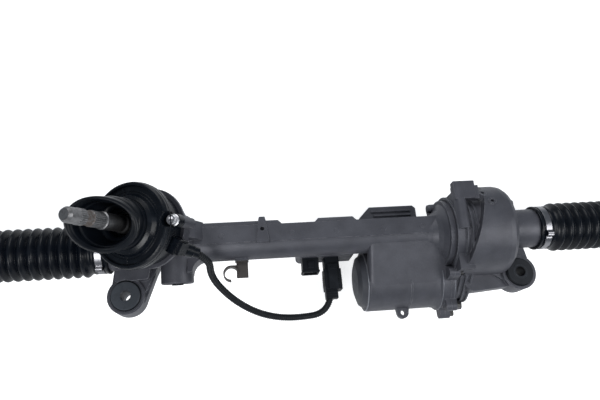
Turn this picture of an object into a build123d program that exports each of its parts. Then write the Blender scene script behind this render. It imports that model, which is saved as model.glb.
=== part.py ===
from build123d import *

import os
from math import atan2, cos, hypot, pi, radians, sin, sqrt, tan

os.makedirs("parts", exist_ok=True)

# All lengths in millimetres. The origin is the middle of the left mounting bush's lower seat:
# +X runs along the rack towards the motor end, +Z is the direction of the mounting bolts.

# --- Mounting bushes ---
BUSH_SPACING = 500.0
BUSH_HEIGHT = 36.0
BUSH_BOLT_R = 6.25
BUSH_SLEEVE_R = 9.5
BUSH_RUBBER_R = 18.5
EAR_R = 22.5
EAR_LOW = 4.0
EAR_HIGH = 32.0

# --- Rack bar ---
RACK_Y = 57.0
RACK_Z = 35.0
RACK_R = 14.0
RACK_LEFT = -83.5
RACK_RIGHT = 621.5
SCREW_LEFT = 338.0
SCREW_RIGHT = 566.0
RELIEF = 1.6

# --- Gear mesh ---
GEAR_X = 61.5
TOWER_TILT = 8.9
PINION_LEAN = 23.9
PINION_PITCH_R = 8.0
PINION_TEETH = 10
PRESSURE_ANGLE = 25.0
RACK_ADDENDUM = 1.4
PINION_ADDENDUM = 1.4
ROOT_CLEARANCE = 0.35
BACKLASH = 0.12
PITCH_PLANE = 9.7
TOOTH_PASSES = 31
PINION_FACE = 30.0

# --- Running clearances ---
SHAFT_CLEARANCE = 0.05
NUT_CLEARANCE = 0.08
SEAT_CLEARANCE = 0.02

# --- Housing tube ---
TUBE_R = 21.0
TUBE_BORE_R = 16.5
NECK_R = 25.5
NECK_BORE_R = 20.5
LEFT_END = -38.0
LEFT_STOP = -10.0
RIGHT_END = 546.0
RIGHT_STOP = 535.0
STOP_THICK = 3.0
JOINT_X = 408.0
PARTITION_X = 392.0
SPINE_LEFT = 84.0
SPINE_FRONT = -4.0
SPINE_BACK = 17.8
SPINE_TOP = 21.8

# --- Pinion tower ---
TOWER_FOOT_R = 24.0
TOWER_HEAD_R = 46.5
TOWER_FOOT_T = 4.0
TOWER_HEAD_T = 58.0
TOWER_LOW_T = -44.0
LOW_BEARING_R = 13.0
HIGH_BEARING_R = 20.0
PINION_BORE_R = 11.5
COVER_R = 48.5
COVER_TOP_T = 100.0
COVER_SKIRT_R = 42.0
COVER_DISC_T = 85.0
SCREW_T = 84.0
SCREW_SPOTS = [(47.6, 2.0), (-44.0, -18.0)]
SEAL_LIP_T = 166.0
SEAL_LIP_R = 30.0
SEAL_OFFSET = 1.6
SEAL_ASKEW = 6.0
SEAL_RIM_T = 144.0
SEAL_RIM_TURN = -14.0
SEAL_RIM_SLANT = 36.0
SHAFT_TIP_T = 197.0
SPLINE_LOW_T = 145.0
SPLINE_HIGH_T = 181.0
SPLINE_LOW_R = 9.6
PINCH_LOW_T = 163.0
PINCH_HIGH_T = 172.0
PINCH_R = 7.5
SHAFT_R = 8.4

# --- Yoke ---
YOKE_BOSS_R = 20.0
YOKE_BORE_R = 15.0
YOKE_REACH = 46.0

# --- Motor and belt drive ---
MOTOR_Y = 7.5
MOTOR_Z = -10.0
BARREL_R = 40.0
BARREL_BORE_R = 36.5
BARREL_LEFT = 300.0
STATOR_BORE_R = 21.0
ROTOR_GAP = 0.5
NUT_PULLEY_R = 37.5
MOTOR_PULLEY_R = 15.0
NUT_PULLEY_TEETH = 40
MOTOR_PULLEY_TEETH = 16
BELT_THICK = 3.0
BELT_LEFT = 414.5
BELT_RIGHT = 427.5
PULLEY_LIP = 2.0

# --- Gear cover ---
FLANGE_R = 46.5
HOUSING_FLANGE_R = 42.0
FLANGE_LOW_R = 44.0
FLANGE_THICK = 7.0
DRUM_R = 46.5
DRUM_LOW_R = 34.0
DRUM_LOW_END = 436.0
DOME_R = 58.0
DOME_LEFT = 437.0
DOME_SLOPE = 19.0
DOME_RIGHT = 486.0
NUT_R = 30.0
BEARING_R = 42.5
BEARING_LEFT = 450.0
BEARING_RIGHT = 468.0
NUT_RIGHT = 474.0

# --- Ball joints and tie rods ---
LEFT_BALL_X = -105.5
RIGHT_BALL_X = 643.5
BALL_R = 12.5
SOCKET_R = 18.0
ROD_R = 8.0
ROD_LENGTH = 240.0
THREAD_R = 7.0
THREAD_LENGTH = 78.0
THREAD_ROOT_R = 6.6
ROD_NECK_R = 7.3
LOCK_NUT_FROM_THREAD = 22.0
LOCK_NUT_HIGH = 10.0
LOCK_NUT_R = 12.7

# --- Bellows ---
BELLOWS_CREST_R = 32.0
BELLOWS_ROOT_R = 26.3
BELLOWS_WALL = 1.5
BELLOWS_PITCHES = 14
LEFT_BELLOWS_X = -18.0
RIGHT_BELLOWS_X = 527.0
COLLAR_LENGTH = 26.0
FOLD_LENGTH = 163.0
SMALL_COLLAR = 16.0

# --- Electronic control unit ---
ECU_LEFT = 302.0
ECU_RIGHT = 380.5
ECU_FRONT = 57.0
ECU_BACK = 104.0
ECU_TOP = 13.0
ECU_BOTTOM = -30.0
ARM_LEFT = 214.0
ARM_RIGHT = ECU_LEFT - 14.0
ARM_FRONT = 40.0
ARM_BACK = 84.0
ARM_BOTTOM = -22.0
SOCKET_Z = -4.0
VEHICLE_X = 231.0
SENSOR_X = 259.0

# --- Cord ---
CONDUIT_R = 4.4


def along_x(y, z):
    """Frame with its local Z along the rack and local X along the row Y axis."""
    return Plane(origin=(0, y, z), x_dir=(0, 1, 0), z_dir=(1, 0, 0)).location


RACK_AXIS = along_x(RACK_Y, RACK_Z)
MOTOR_AXIS = along_x(MOTOR_Y, MOTOR_Z)

# The pinion leans towards the left end and a little towards the mounting side.
TILT = radians(TOWER_TILT)
LEAN = radians(PINION_LEAN)
INWARD = Vector(0, -cos(TILT), -sin(TILT))
ACROSS = Vector(0, -sin(TILT), cos(TILT))
PINION_DIR = ACROSS * cos(LEAN) - Vector(1, 0, 0) * sin(LEAN)
TOOTH_DIR = Vector(1, 0, 0) * cos(LEAN) + ACROSS * sin(LEAN)
CENTRE_DISTANCE = PITCH_PLANE + PINION_PITCH_R
MESH = Vector(GEAR_X, RACK_Y, RACK_Z)
PINION_FOOT = MESH - INWARD * CENTRE_DISTANCE
PINION = Plane(origin=PINION_FOOT, x_dir=TOOTH_DIR, z_dir=PINION_DIR).location
TEETH = Plane(origin=MESH, x_dir=TOOTH_DIR, z_dir=PINION_DIR).location
YOKE = Plane(origin=MESH, x_dir=(1, 0, 0), z_dir=INWARD).location


def turned(frame, outline):
    """Solid of revolution from (radius, height) corners about the frame's local Z."""
    face = make_face(Polyline(*[(r, 0, t) for r, t in outline], close=True))
    return frame * revolve(face, Axis.Z)


def rod(frame, r, low, high):
    return frame * Pos(0, 0, low) * Cylinder(r, high - low, align=(Align.CENTER, Align.CENTER, Align.MIN))


def ring(frame, inner, outer, low, high):
    return turned(frame, [(inner, low), (outer, low), (outer, high), (inner, high)])


def block(x0, x1, y0, y1, z0, z1):
    return Pos((x0 + x1) / 2, (y0 + y1) / 2, (z0 + z1) / 2) * Box(x1 - x0, y1 - y0, z1 - z0)


def hull_plate(frame, discs, low, high):
    """Plate whose outline is the tight wrap around discs given as (x, y, radius)."""
    edges = []
    for x, y, r in discs:
        edges.extend((Pos(x, y) * Circle(r)).edges())
    return frame * Pos(0, 0, low) * extrude(make_hull(edges), high - low)


def wrap(r_rack, r_motor, low, high):
    """Plate around the rack axis and the motor axis together."""
    discs = [(0, 0, r_rack), (MOTOR_Y - RACK_Y, MOTOR_Z - RACK_Z, r_motor)]
    return hull_plate(RACK_AXIS, discs, low, high)


def seated(r):
    return r - SEAT_CLEARANCE


def save(shape, name):
    shape.label = name
    export_step(shape, f"parts/{name}.step")


# ---------------------------------------------------------------- housing


# Joint bolts as (angle, radius) about the rack axis and about the motor axis.
RACK_BOLTS = [(-38.0, 52.5), (-75.0, 52.5), (172.0, 54.0)]
MOTOR_BOLTS = [(152.0, 48.0), (190.0, 49.0), (250.0, 48.0), (300.0, 48.0)]


def flange_points():
    """Bolt positions around the joint between housing and gear cover, as row (y, z)."""
    points = []
    for y, z, bolts in ((RACK_Y, RACK_Z, RACK_BOLTS), (MOTOR_Y, MOTOR_Z, MOTOR_BOLTS)):
        for angle, r in bolts:
            a = radians(angle)
            points.append((y + r * cos(a), z + r * sin(a)))
    return points


def tube():
    outline = [
        (0, LEFT_END), (NECK_R, LEFT_END), (NECK_R, -9), (NECK_R - 1, -6), (TUBE_R, 4),
        (TUBE_R, 378), (TUBE_R + 1.5, 385), (TUBE_R + 4.5, 391), (TUBE_R + 9, 396),
        (TUBE_R + 15, 400), (TUBE_R + 19, 403), (TUBE_R + 20, JOINT_X), (0, JOINT_X),
    ]
    return turned(RACK_AXIS, outline)


def spine():
    """Flat panel along the top of the tube with two raised back ridges."""
    low = RACK_Z + 4
    top = RACK_Z + SPINE_TOP
    body = block(SPINE_LEFT, 396, RACK_Y + SPINE_FRONT, RACK_Y + SPINE_BACK, low, top)
    for x0, x1 in ((SPINE_LEFT + 6, 193), (235, 288)):
        ridge = block(x0, x1, RACK_Y + SPINE_BACK - 1, RACK_Y + SPINE_BACK + 5, low + 4, top - 1.2)
        ridge = chamfer(ridge.edges().filter_by(Axis.Z).group_by(Axis.Y)[-1], 4.5)
        body += ridge
    return body


def lug():
    """Trapezoid bracket tab standing on the spine."""
    x = 168.5
    y0 = RACK_Y - 5.5
    y1 = RACK_Y + 27
    outline = [(x - 8, y0), (x + 8, y0), (x + 4.6, y1 - 4), (x + 3.6, y1), (x - 3.6, y1), (x - 4.6, y1 - 4)]
    plate = Pos(0, 0, RACK_Z + SPINE_TOP - 3) * extrude(make_face(Polyline(*outline, close=True)), 5.2)
    hole = rod(Pos(x, RACK_Y + 11.5, RACK_Z), 2.6, SPINE_TOP - 3.3, SPINE_TOP + 3)
    return plate, hole


def tower():
    outline = [
        (0, TOWER_LOW_T), (18, TOWER_LOW_T), (19, TOWER_LOW_T + 1), (19, -18), (TOWER_FOOT_R, -10),
        (TOWER_FOOT_R, TOWER_FOOT_T), (TOWER_HEAD_R - 1.5, TOWER_HEAD_T - 3),
        (TOWER_HEAD_R, TOWER_HEAD_T - 1),
        (TOWER_HEAD_R, TOWER_HEAD_T + 2), (0, TOWER_HEAD_T + 2),
    ]
    cone = turned(PINION, outline)
    # Shoulder that falls from the cone to the spine
    fall = [(GEAR_X - 6, 0), (GEAR_X + 36, 0), (GEAR_X + 34, SPINE_TOP), (GEAR_X + 26, 31),
            (GEAR_X + 18, 36), (GEAR_X - 6, 40)]
    side = Plane(origin=(0, RACK_Y + 24, RACK_Z), x_dir=(1, 0, 0), z_dir=(0, -1, 0)).location
    shoulder = side * extrude(make_face(Polyline(*fall, close=True)), 22)
    return cone + shoulder


def yoke_boss():
    outline = [(0, 0), (YOKE_BOSS_R, 0), (YOKE_BOSS_R, YOKE_REACH - 1.5), (YOKE_BOSS_R - 1.5, YOKE_REACH),
               (0, YOKE_REACH)]
    boss = turned(YOKE, outline)
    fillet_r = 16.0
    x = GEAR_X + YOKE_BOSS_R
    y = RACK_Y - TUBE_R + 2
    corner = [(x - 6, y + 12), (x + fillet_r, y + 12), (x + fillet_r, y), (x, y - fillet_r),
              (x - 6, y - fillet_r)]
    web = Pos(0, 0, RACK_Z - 14) * extrude(make_face(Polyline(*corner, close=True)), 26)
    web -= Pos(x + fillet_r, y - fillet_r, RACK_Z) * Cylinder(fillet_r, 60)
    return boss + web


def left_ear():
    ear = rod(Pos(0, 0, 0), EAR_R, EAR_LOW, EAR_HIGH)
    arm = hull_plate(Pos(0, 0, 0), [(0, 0, 19), (-4, 44, 10), (33, 46, 9)], EAR_LOW + 2, EAR_HIGH - 3)
    foot = hull_plate(Pos(0, 0, 0), [(3, -2, 18), (18, -5, 5), (30, 25, 4), (30, 46, 9)], EAR_LOW + 6,
                      EAR_HIGH - 7)
    rib = hull_plate(Pos(0, 0, 0), [(-9, 20, 4), (24, 22, 4), (-8, 46, 5), (28, 44, 5)], EAR_LOW + 2,
                     EAR_HIGH + 6)
    return ear + arm + foot + rib


def barrel():
    outline = [
        (0, BARREL_LEFT + 2), (BARREL_R - 2, BARREL_LEFT), (BARREL_R, BARREL_LEFT + 3),
        (BARREL_R, 388), (BARREL_R + 1, 394), (BARREL_R + 4, 397), (BARREL_R + 4, JOINT_X), (0, JOINT_X),
    ]
    body = turned(MOTOR_AXIS, outline)
    web = hull_plate(RACK_AXIS, [(-9, -3, 9), (MOTOR_Y - RACK_Y, MOTOR_Z - RACK_Z, 18)], BARREL_LEFT + 8,
                     JOINT_X)
    tab_x = 349.5
    tab_y = MOTOR_Y - BARREL_R - 5
    tab = hull_plate(Pos(0, 0, 0), [(tab_x, tab_y, 7.5), (tab_x - 5, tab_y + 16, 5),
                                    (tab_x + 5, tab_y + 16, 5)],
                     MOTOR_Z - 4, MOTOR_Z + 4)
    hole = Pos(tab_x, tab_y, MOTOR_Z) * Cylinder(3.2, 30)
    seam = ring(MOTOR_AXIS, BARREL_R - 2, BARREL_R + 0.6, 356, 358)
    return body + web + tab + seam, hole


def wrap_eye(y, z, low, high):
    """Bolt eye with its neck towards the nearer axis."""
    to_rack = hypot(y - RACK_Y, z - RACK_Z)
    to_motor = hypot(y - MOTOR_Y, z - MOTOR_Z)
    cy, cz, far = (RACK_Y, RACK_Z, to_rack) if to_rack < to_motor else (MOTOR_Y, MOTOR_Z, to_motor)
    k = (far - 24) / far
    root = (cy + (y - cy) * k - RACK_Y, cz + (z - cz) * k - RACK_Z, 13.0)
    return hull_plate(RACK_AXIS, [(y - RACK_Y, z - RACK_Z, 6.7), root], low, high)


def joint_flange(r_rack, low, high):
    """Flange that follows both circles, with an eye at each bolt."""
    plate = rod(RACK_AXIS, r_rack, low, high) + rod(MOTOR_AXIS, FLANGE_LOW_R, low, high)
    plate += wrap(27.0, 27.0, low, high)
    for y, z in flange_points():
        plate += wrap_eye(y, z, low, high)
    return plate


def ecu_pads():
    """Feet under the tube that carry the control unit."""
    pads = block(ECU_LEFT + 6, ECU_RIGHT - 12, RACK_Y + 1, RACK_Y + 18, ECU_TOP, RACK_Z)
    pads += block(ARM_LEFT + 10, ARM_LEFT + 70, RACK_Y - 8, RACK_Y + 14, ECU_TOP, RACK_Z)
    return pads


def main_housing():
    body = tube() + spine() + tower() + yoke_boss() + left_ear() + ecu_pads()
    drum, drum_hole = barrel()
    plate, lug_hole = lug()
    body += drum + plate
    body += joint_flange(HOUSING_FLANGE_R, JOINT_X - FLANGE_THICK, JOINT_X)
    for x, y in SCREW_SPOTS:
        body += rod(PINION * Pos(x, y, 0), 6.5, TOWER_HEAD_T - 10, SCREW_T - 10)
    body += turned(along_x(RACK_Y + 35.5, RACK_Z - 6),
                   [(0, 391), (5.0, 391), (6, 394), (6, JOINT_X), (0, JOINT_X)])
    low_y, low_z = flange_points()[4]
    body += rod(along_x(low_y, low_z), 6.7, 392, JOINT_X)
    body -= rod(PINION, COVER_SKIRT_R + SEAT_CLEARANCE, TOWER_HEAD_T + 2, SCREW_T)
    clip_pad = block(133, 150, RACK_Y - TUBE_R - 2, RACK_Y - 12, RACK_Z - 9, RACK_Z + 6)
    body += clip_pad
    body -= drum_hole + lug_hole
    body -= rod(RACK_AXIS, TUBE_BORE_R, LEFT_END - 1, JOINT_X + 1)
    body -= rod(RACK_AXIS, NECK_BORE_R, LEFT_END - 1, LEFT_STOP)
    body -= rod(PINION, PINION_BORE_R, TOWER_LOW_T - 1, 30)
    body -= rod(PINION, LOW_BEARING_R, TOWER_LOW_T - 1, -22)
    body -= rod(PINION, 16.0, TOWER_LOW_T - 1, -38)
    body -= rod(PINION, HIGH_BEARING_R, 22, TOWER_HEAD_T + 3)
    body -= rod(PINION, 34.0, TOWER_HEAD_T - 6, TOWER_HEAD_T + 3)
    body -= rod(YOKE, YOKE_BORE_R, 0, YOKE_REACH + 1)
    body -= rod(YOKE, YOKE_BORE_R + 2.5, YOKE_REACH - 9, YOKE_REACH + 1)
    body -= rod(MOTOR_AXIS, BARREL_BORE_R, BARREL_LEFT - 5, PARTITION_X - 4)
    body -= rod(MOTOR_AXIS, 11.0, PARTITION_X - 6, JOINT_X - 8)
    body -= rod(MOTOR_AXIS, 8.0, PARTITION_X, JOINT_X + 1)
    body -= rod(Pos(0, 0, 0), BUSH_RUBBER_R, EAR_LOW - 1, EAR_HIGH + 8)
    return body


def gear_cover():
    body = joint_flange(FLANGE_R, JOINT_X, JOINT_X + FLANGE_THICK)
    body += wrap(DRUM_R, DRUM_LOW_R, JOINT_X, DRUM_LOW_END)
    body += rod(RACK_AXIS, DRUM_R, JOINT_X, DOME_LEFT + 10)
    for x in (JOINT_X + 11, JOINT_X + 18, JOINT_X + 25):
        body += wrap(DRUM_R + 2.5, DRUM_LOW_R + 2.0, x, x + 2.4)
    dome = turned(RACK_AXIS, [
        (0, DOME_LEFT - 30), (DOME_R, DOME_LEFT - 30), (DOME_R, DOME_RIGHT - 14),
        (DOME_R - 1.2, DOME_RIGHT - 8), (DOME_R - 4.5, DOME_RIGHT - 3), (DOME_R - 10, DOME_RIGHT),
        (NECK_R + 6, DOME_RIGHT + 1), (NECK_R + 1.5, DOME_RIGHT + 3), (NECK_R, DOME_RIGHT + 7),
        (NECK_R, RIGHT_END), (0, RIGHT_END),
    ])
    # The dome's near edge is a slanting step
    keep = Pos(DOME_LEFT, RACK_Y, RACK_Z) * Rot(0, 0, -DOME_SLOPE) * Box(
        160, 200, 200, align=(Align.MIN, Align.CENTER, Align.CENTER))
    body += dome & keep
    body += rod(Pos(BUSH_SPACING, 0, 0), EAR_R, EAR_LOW, EAR_HIGH)
    ear_arm = [(BUSH_SPACING, 0, 19), (462, 12, 9), (452, 44, 12), (504, 44, 8)]
    body += hull_plate(Pos(0, 0, 0), ear_arm, EAR_LOW + 2, EAR_HIGH - 3)
    body += hull_plate(Pos(0, 0, 0), [(BUSH_SPACING - 2, -2, 14), (440, -6, 14), (446, 30, 12)],
                       EAR_LOW + 2, EAR_HIGH - 6)
    body += rod(along_x(-32, -6), 6.5, JOINT_X, 428)
    body += rod(along_x(RACK_Y + 33, RACK_Z + 6), 5.5, DOME_RIGHT - 12, DOME_RIGHT + 18)
    # Long boss across the joint, the block at its top and the pads on the dome
    boss = Plane(origin=(417, RACK_Y - 8, RACK_Z + 44), x_dir=(1, 0, 0), z_dir=(0, 1, 0)).location
    body += rod(boss, 8.0, 0, 60)
    body += block(JOINT_X + 2, 425, RACK_Y - 8, RACK_Y + 42, RACK_Z + 20, RACK_Z + 44)
    body += block(JOINT_X + 2, 437, RACK_Y + 30, RACK_Y + 53, RACK_Z + 40, RACK_Z + 51)
    body += block(JOINT_X + 2, 443, RACK_Y + 30, RACK_Y + 48, RACK_Z + 38, RACK_Z + 47)
    for angle, x in ((51.0, 448.0), (66.0, 455.0)):
        body += rod(RACK_AXIS * Rot(0, 0, angle) * Pos(DOME_R - 6, 0, x) * Rot(0, 90, 0), 5.0, 0, 7.5)
    body += block(JOINT_X + 2, 429, RACK_Y - 55, RACK_Y - 34, RACK_Z + 4, RACK_Z + 30)
    for y, z in flange_points():
        body -= rod(along_x(y, z), 5.8, JOINT_X + FLANGE_THICK, JOINT_X + FLANGE_THICK + 7)
    # Cavities
    body -= wrap(NUT_PULLEY_R + BELT_THICK + 2, MOTOR_PULLEY_R + BELT_THICK + 2, JOINT_X - 1,
                 BELT_RIGHT + 5)
    body -= rod(RACK_AXIS, BEARING_R, BELT_RIGHT + 4, BEARING_RIGHT)
    body -= rod(RACK_AXIS, NUT_R + 4, BEARING_RIGHT - 1, NUT_RIGHT + 3)
    body -= rod(RACK_AXIS, TUBE_BORE_R, JOINT_X - 1, RIGHT_END + 1)
    body -= rod(RACK_AXIS, NECK_BORE_R, RIGHT_STOP, RIGHT_END + 1)
    body -= rod(Pos(BUSH_SPACING, 0, 0), BUSH_RUBBER_R, EAR_LOW - 6, EAR_HIGH + 1)
    body -= rod(Pos(BUSH_SPACING, 0, 0), BUSH_RUBBER_R + 2.5, EAR_HIGH - 0.5, EAR_HIGH + 40)
    for angle, x in ((51.0, 448.0), (66.0, 455.0)):
        body -= rod(RACK_AXIS * Rot(0, 0, angle) * Pos(DOME_R - 6, 0, x) * Rot(0, 90, 0), 2.4, 3.5, 9)
    return body


def flange_bolts():
    """Flanged hexagon heads on the gear cover's face of the joint."""
    heads = []
    x0 = JOINT_X + FLANGE_THICK
    for y, z in flange_points():
        frame = along_x(y, z)
        heads.append(rod(frame, 5.4, x0, x0 + 1.4) + frame * Pos(
            0, 0, x0 + 1.4) * extrude(RegularPolygon(4.4, 6), 4.4))
    return Compound(heads)


def motor_cap():
    outline = [
        (0, BARREL_LEFT - 10), (22, BARREL_LEFT - 9.5), (32, BARREL_LEFT - 6),
        (seated(BARREL_BORE_R), BARREL_LEFT + 1),
        (seated(BARREL_BORE_R), BARREL_LEFT + 7), (33, BARREL_LEFT + 7), (30, BARREL_LEFT - 2),
        (10, BARREL_LEFT - 5),
        (10, BARREL_LEFT + 4), (6.5, BARREL_LEFT + 4), (6.5, BARREL_LEFT - 6), (0, BARREL_LEFT - 6),
    ]
    return turned(MOTOR_AXIS, outline)


def motor_stator():
    body = ring(MOTOR_AXIS, STATOR_BORE_R, seated(BARREL_BORE_R), BARREL_LEFT + 14, PARTITION_X - 8)
    for i in range(12):
        slot = MOTOR_AXIS * Rot(0, 0, 30 * i) * Pos(STATOR_BORE_R + 5.5, 0, BARREL_LEFT + 10) * Box(
            9, 4.4, 100, align=(Align.CENTER, Align.CENTER, Align.MIN))
        body -= slot
    return body


def rotor_shaft():
    return turned(MOTOR_AXIS, [
        (0, BARREL_LEFT - 5), (6.5 - SHAFT_CLEARANCE, BARREL_LEFT - 5), (6.5 - SHAFT_CLEARANCE, 310),
        (8.5, 310),
        (8.5, PARTITION_X - 7), (7.0 - SHAFT_CLEARANCE, PARTITION_X - 7),
        (7.0 - SHAFT_CLEARANCE, BELT_LEFT - 3), (6.0, BELT_LEFT - 3),
        (6.0, BELT_RIGHT + 2.5), (0, BELT_RIGHT + 2.5),
    ])


def rotor():
    body = ring(MOTOR_AXIS, 8.5, STATOR_BORE_R - ROTOR_GAP, BARREL_LEFT + 15, PARTITION_X - 9)
    for i in range(8):
        groove = MOTOR_AXIS * Rot(0, 0, 45 * i) * Pos(STATOR_BORE_R - ROTOR_GAP, 0, BARREL_LEFT + 10) * Box(
            2.4, 2.0, 100, align=(Align.CENTER, Align.CENTER, Align.MIN))
        body -= groove
    return body


def motor_bearing():
    return ring(MOTOR_AXIS, 7.0, seated(11.0), PARTITION_X - 4, JOINT_X - 8)


def toothed_pulley(frame, inner, outer, teeth, low, high):
    """Belt pulley with rounded-off square teeth and a lip each side."""
    body = ring(frame, inner, outer, low, high)
    depth = 1.3
    width = 2 * pi * outer / teeth * 0.48
    cutters = []
    for i in range(teeth):
        cutters.append(frame * Rot(0, 0, 360.0 / teeth * i) * Pos(outer, 0, low) * Box(
            2 * depth, width, high - low, align=(Align.CENTER, Align.CENTER, Align.MIN)))
    body -= cutters
    for x in (low - 1.2, high):
        body += ring(frame, inner, outer + PULLEY_LIP, x, x + 1.2)
    return body


def drive_belt():
    outer = wrap(NUT_PULLEY_R + SHAFT_CLEARANCE + BELT_THICK, MOTOR_PULLEY_R + SHAFT_CLEARANCE + BELT_THICK,
                 BELT_LEFT + 0.3, BELT_RIGHT - 0.3)
    inner = wrap(NUT_PULLEY_R + SHAFT_CLEARANCE, MOTOR_PULLEY_R + SHAFT_CLEARANCE, BELT_LEFT, BELT_RIGHT)
    return outer - inner


def ball_nut():
    bore = RACK_R + NUT_CLEARANCE
    body = turned(RACK_AXIS, [
        (bore, BELT_LEFT - 3), (26, BELT_LEFT - 3), (26, BELT_RIGHT + 1.5), (34, BELT_RIGHT + 1.5),
        (34, BEARING_LEFT - 4),
        (NUT_R, BEARING_LEFT - 3), (NUT_R, NUT_RIGHT - 1), (NUT_R - 1, NUT_RIGHT), (bore, NUT_RIGHT),
    ])
    return body


def nut_bearing():
    return ring(RACK_AXIS, NUT_R + SHAFT_CLEARANCE, seated(BEARING_R), BEARING_LEFT, BEARING_RIGHT)


# ---------------------------------------------------------------- bushes


def bush_rubber(x):
    low = EAR_LOW - 1.5
    high = EAR_HIGH + 1.5
    return turned(Pos(x, 0, 0), [
        (BUSH_SLEEVE_R, low), (BUSH_RUBBER_R - 2, low), (seated(BUSH_RUBBER_R), low + 1.5),
        (seated(BUSH_RUBBER_R), high - 1.5), (BUSH_RUBBER_R - 1.5, high), (BUSH_SLEEVE_R, high),
    ])


def bush_sleeve(x):
    """Steel sleeve with a broad washer face at the top, under the bolt head."""
    r = seated(BUSH_SLEEVE_R)
    top = BUSH_HEIGHT - 2.2
    return turned(Pos(x, 0, 0), [
        (BUSH_BOLT_R, 0), (r, 0), (r, top), (BUSH_RUBBER_R - 1.2, top),
        (BUSH_RUBBER_R - 1.2, BUSH_HEIGHT - 0.6),
        (BUSH_RUBBER_R - 1.8, BUSH_HEIGHT), (BUSH_BOLT_R, BUSH_HEIGHT),
    ])


# ---------------------------------------------------------------- yoke


def yoke():
    low = 5.0
    high = 33.0
    body = turned(YOKE, [(0, low), (YOKE_BORE_R - SEAT_CLEARANCE, low),
                         (YOKE_BORE_R - SEAT_CLEARANCE, high),
                         (9, high), (9, high - 8), (0, high - 8)])
    body -= rod(RACK_AXIS, RACK_R + SHAFT_CLEARANCE, GEAR_X - 40, GEAR_X + 40)
    return body


def yoke_spring():
    """Three dished spring washers stacked between yoke and plug."""
    low = 25.0
    rise = (YOKE_REACH - 9.0 - low) / 3
    washers = Part()
    for i in range(3):
        t0 = low + rise * i
        near, far = (t0, t0 + rise - 1.6) if i % 2 == 0 else (t0 + rise - 1.6, t0)
        washers += turned(YOKE, [(3.6, far), (3.6, far + 1.6), (8.6, near + 1.6), (8.6, near)])
    return washers


def yoke_plug():
    r = YOKE_BORE_R + 2.5 - SEAT_CLEARANCE
    body = turned(YOKE, [(0, YOKE_REACH - 9), (r, YOKE_REACH - 9), (r, YOKE_REACH - 1), (7, YOKE_REACH - 1),
                         (0, YOKE_REACH - 1)])
    body += YOKE * Pos(0, 0, YOKE_REACH - 1.5) * extrude(RegularPolygon(7.0, 6), 3.0)
    body -= YOKE * Pos(0, 0, YOKE_REACH - 2.5) * extrude(RegularPolygon(4.2, 6), 6.0)
    return body


# ---------------------------------------------------------------- rack and pinion


def rack_bar():
    left = turned(RACK_AXIS, [
        (0, RACK_LEFT), (12.5, RACK_LEFT), (13.5, RACK_LEFT + 1), (RACK_R, RACK_LEFT + 2),
        (RACK_R, SCREW_LEFT - 12),
        (RACK_R - RELIEF, SCREW_LEFT - 10), (RACK_R - RELIEF, SCREW_LEFT), (RACK_R, SCREW_LEFT + RELIEF),
        (RACK_R, SCREW_RIGHT - RELIEF), (RACK_R - RELIEF, SCREW_RIGHT), (RACK_R - RELIEF, RACK_RIGHT - 1),
        (RACK_R - RELIEF - 1, RACK_RIGHT), (0, RACK_RIGHT),
    ])
    pitch = pi * 2 * PINION_PITCH_R / PINION_TEETH
    slope = tan(radians(PRESSURE_ANGLE))
    root = PINION_ADDENDUM + ROOT_CLEARANCE
    half = pitch / 4 + BACKLASH / 2
    comb = []
    span = TOOTH_PASSES * pitch
    top = RACK_ADDENDUM + 8.0
    comb.append((-span / 2 - 4, top))
    comb.append((-span / 2 - 4, RACK_ADDENDUM))
    for i in range(TOOTH_PASSES):
        # Each gap sits between two teeth: the middle gap is on the centre line
        x = (i - (TOOTH_PASSES - 1) / 2) * pitch
        comb.append((x - half - RACK_ADDENDUM * slope, RACK_ADDENDUM))
        comb.append((x - half + root * slope, -root))
        comb.append((x + half - root * slope, -root))
        comb.append((x + half + RACK_ADDENDUM * slope, RACK_ADDENDUM))
    comb.append((span / 2 + 4, RACK_ADDENDUM))
    comb.append((span / 2 + 4, top))
    cutter = TEETH * Pos(0, 0, -45) * extrude(make_face(Polyline(*comb, close=True)), 90)
    cutter = Pos(INWARD.X * -PITCH_PLANE, INWARD.Y * -PITCH_PLANE, INWARD.Z * -PITCH_PLANE) * cutter
    body = left - cutter
    body -= rod(RACK_AXIS, 8.0, RACK_LEFT - 1, RACK_LEFT + 22)
    body -= rod(RACK_AXIS, 8.0, RACK_RIGHT - 22, RACK_RIGHT + 1)
    return body


def involute(base, r):
    """Polar angle swept by the involute at radius r."""
    a = sqrt(max((r / base) ** 2 - 1.0, 0.0))
    return a - atan2(a, 1.0)


def pinion_outline():
    base = PINION_PITCH_R * cos(radians(PRESSURE_ANGLE))
    tip = PINION_PITCH_R + PINION_ADDENDUM
    root = PINION_PITCH_R - RACK_ADDENDUM - ROOT_CLEARANCE
    half = pi / (2 * PINION_TEETH) - BACKLASH / 2 / PINION_PITCH_R + involute(base, PINION_PITCH_R)
    corners = []
    for i in range(PINION_TEETH):
        mid = 2 * pi * i / PINION_TEETH - pi / 2
        flank = []
        for k in range(5):
            r = base + (tip - base) * k / 4
            flank.append((r, half - involute(base, r)))
        left = [(root, half + 0.02)] + flank
        for r, a in left:
            corners.append((r * cos(mid - a), r * sin(mid - a)))
        for r, a in reversed(left):
            corners.append((r * cos(mid + a), r * sin(mid + a)))
    return corners


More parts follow.
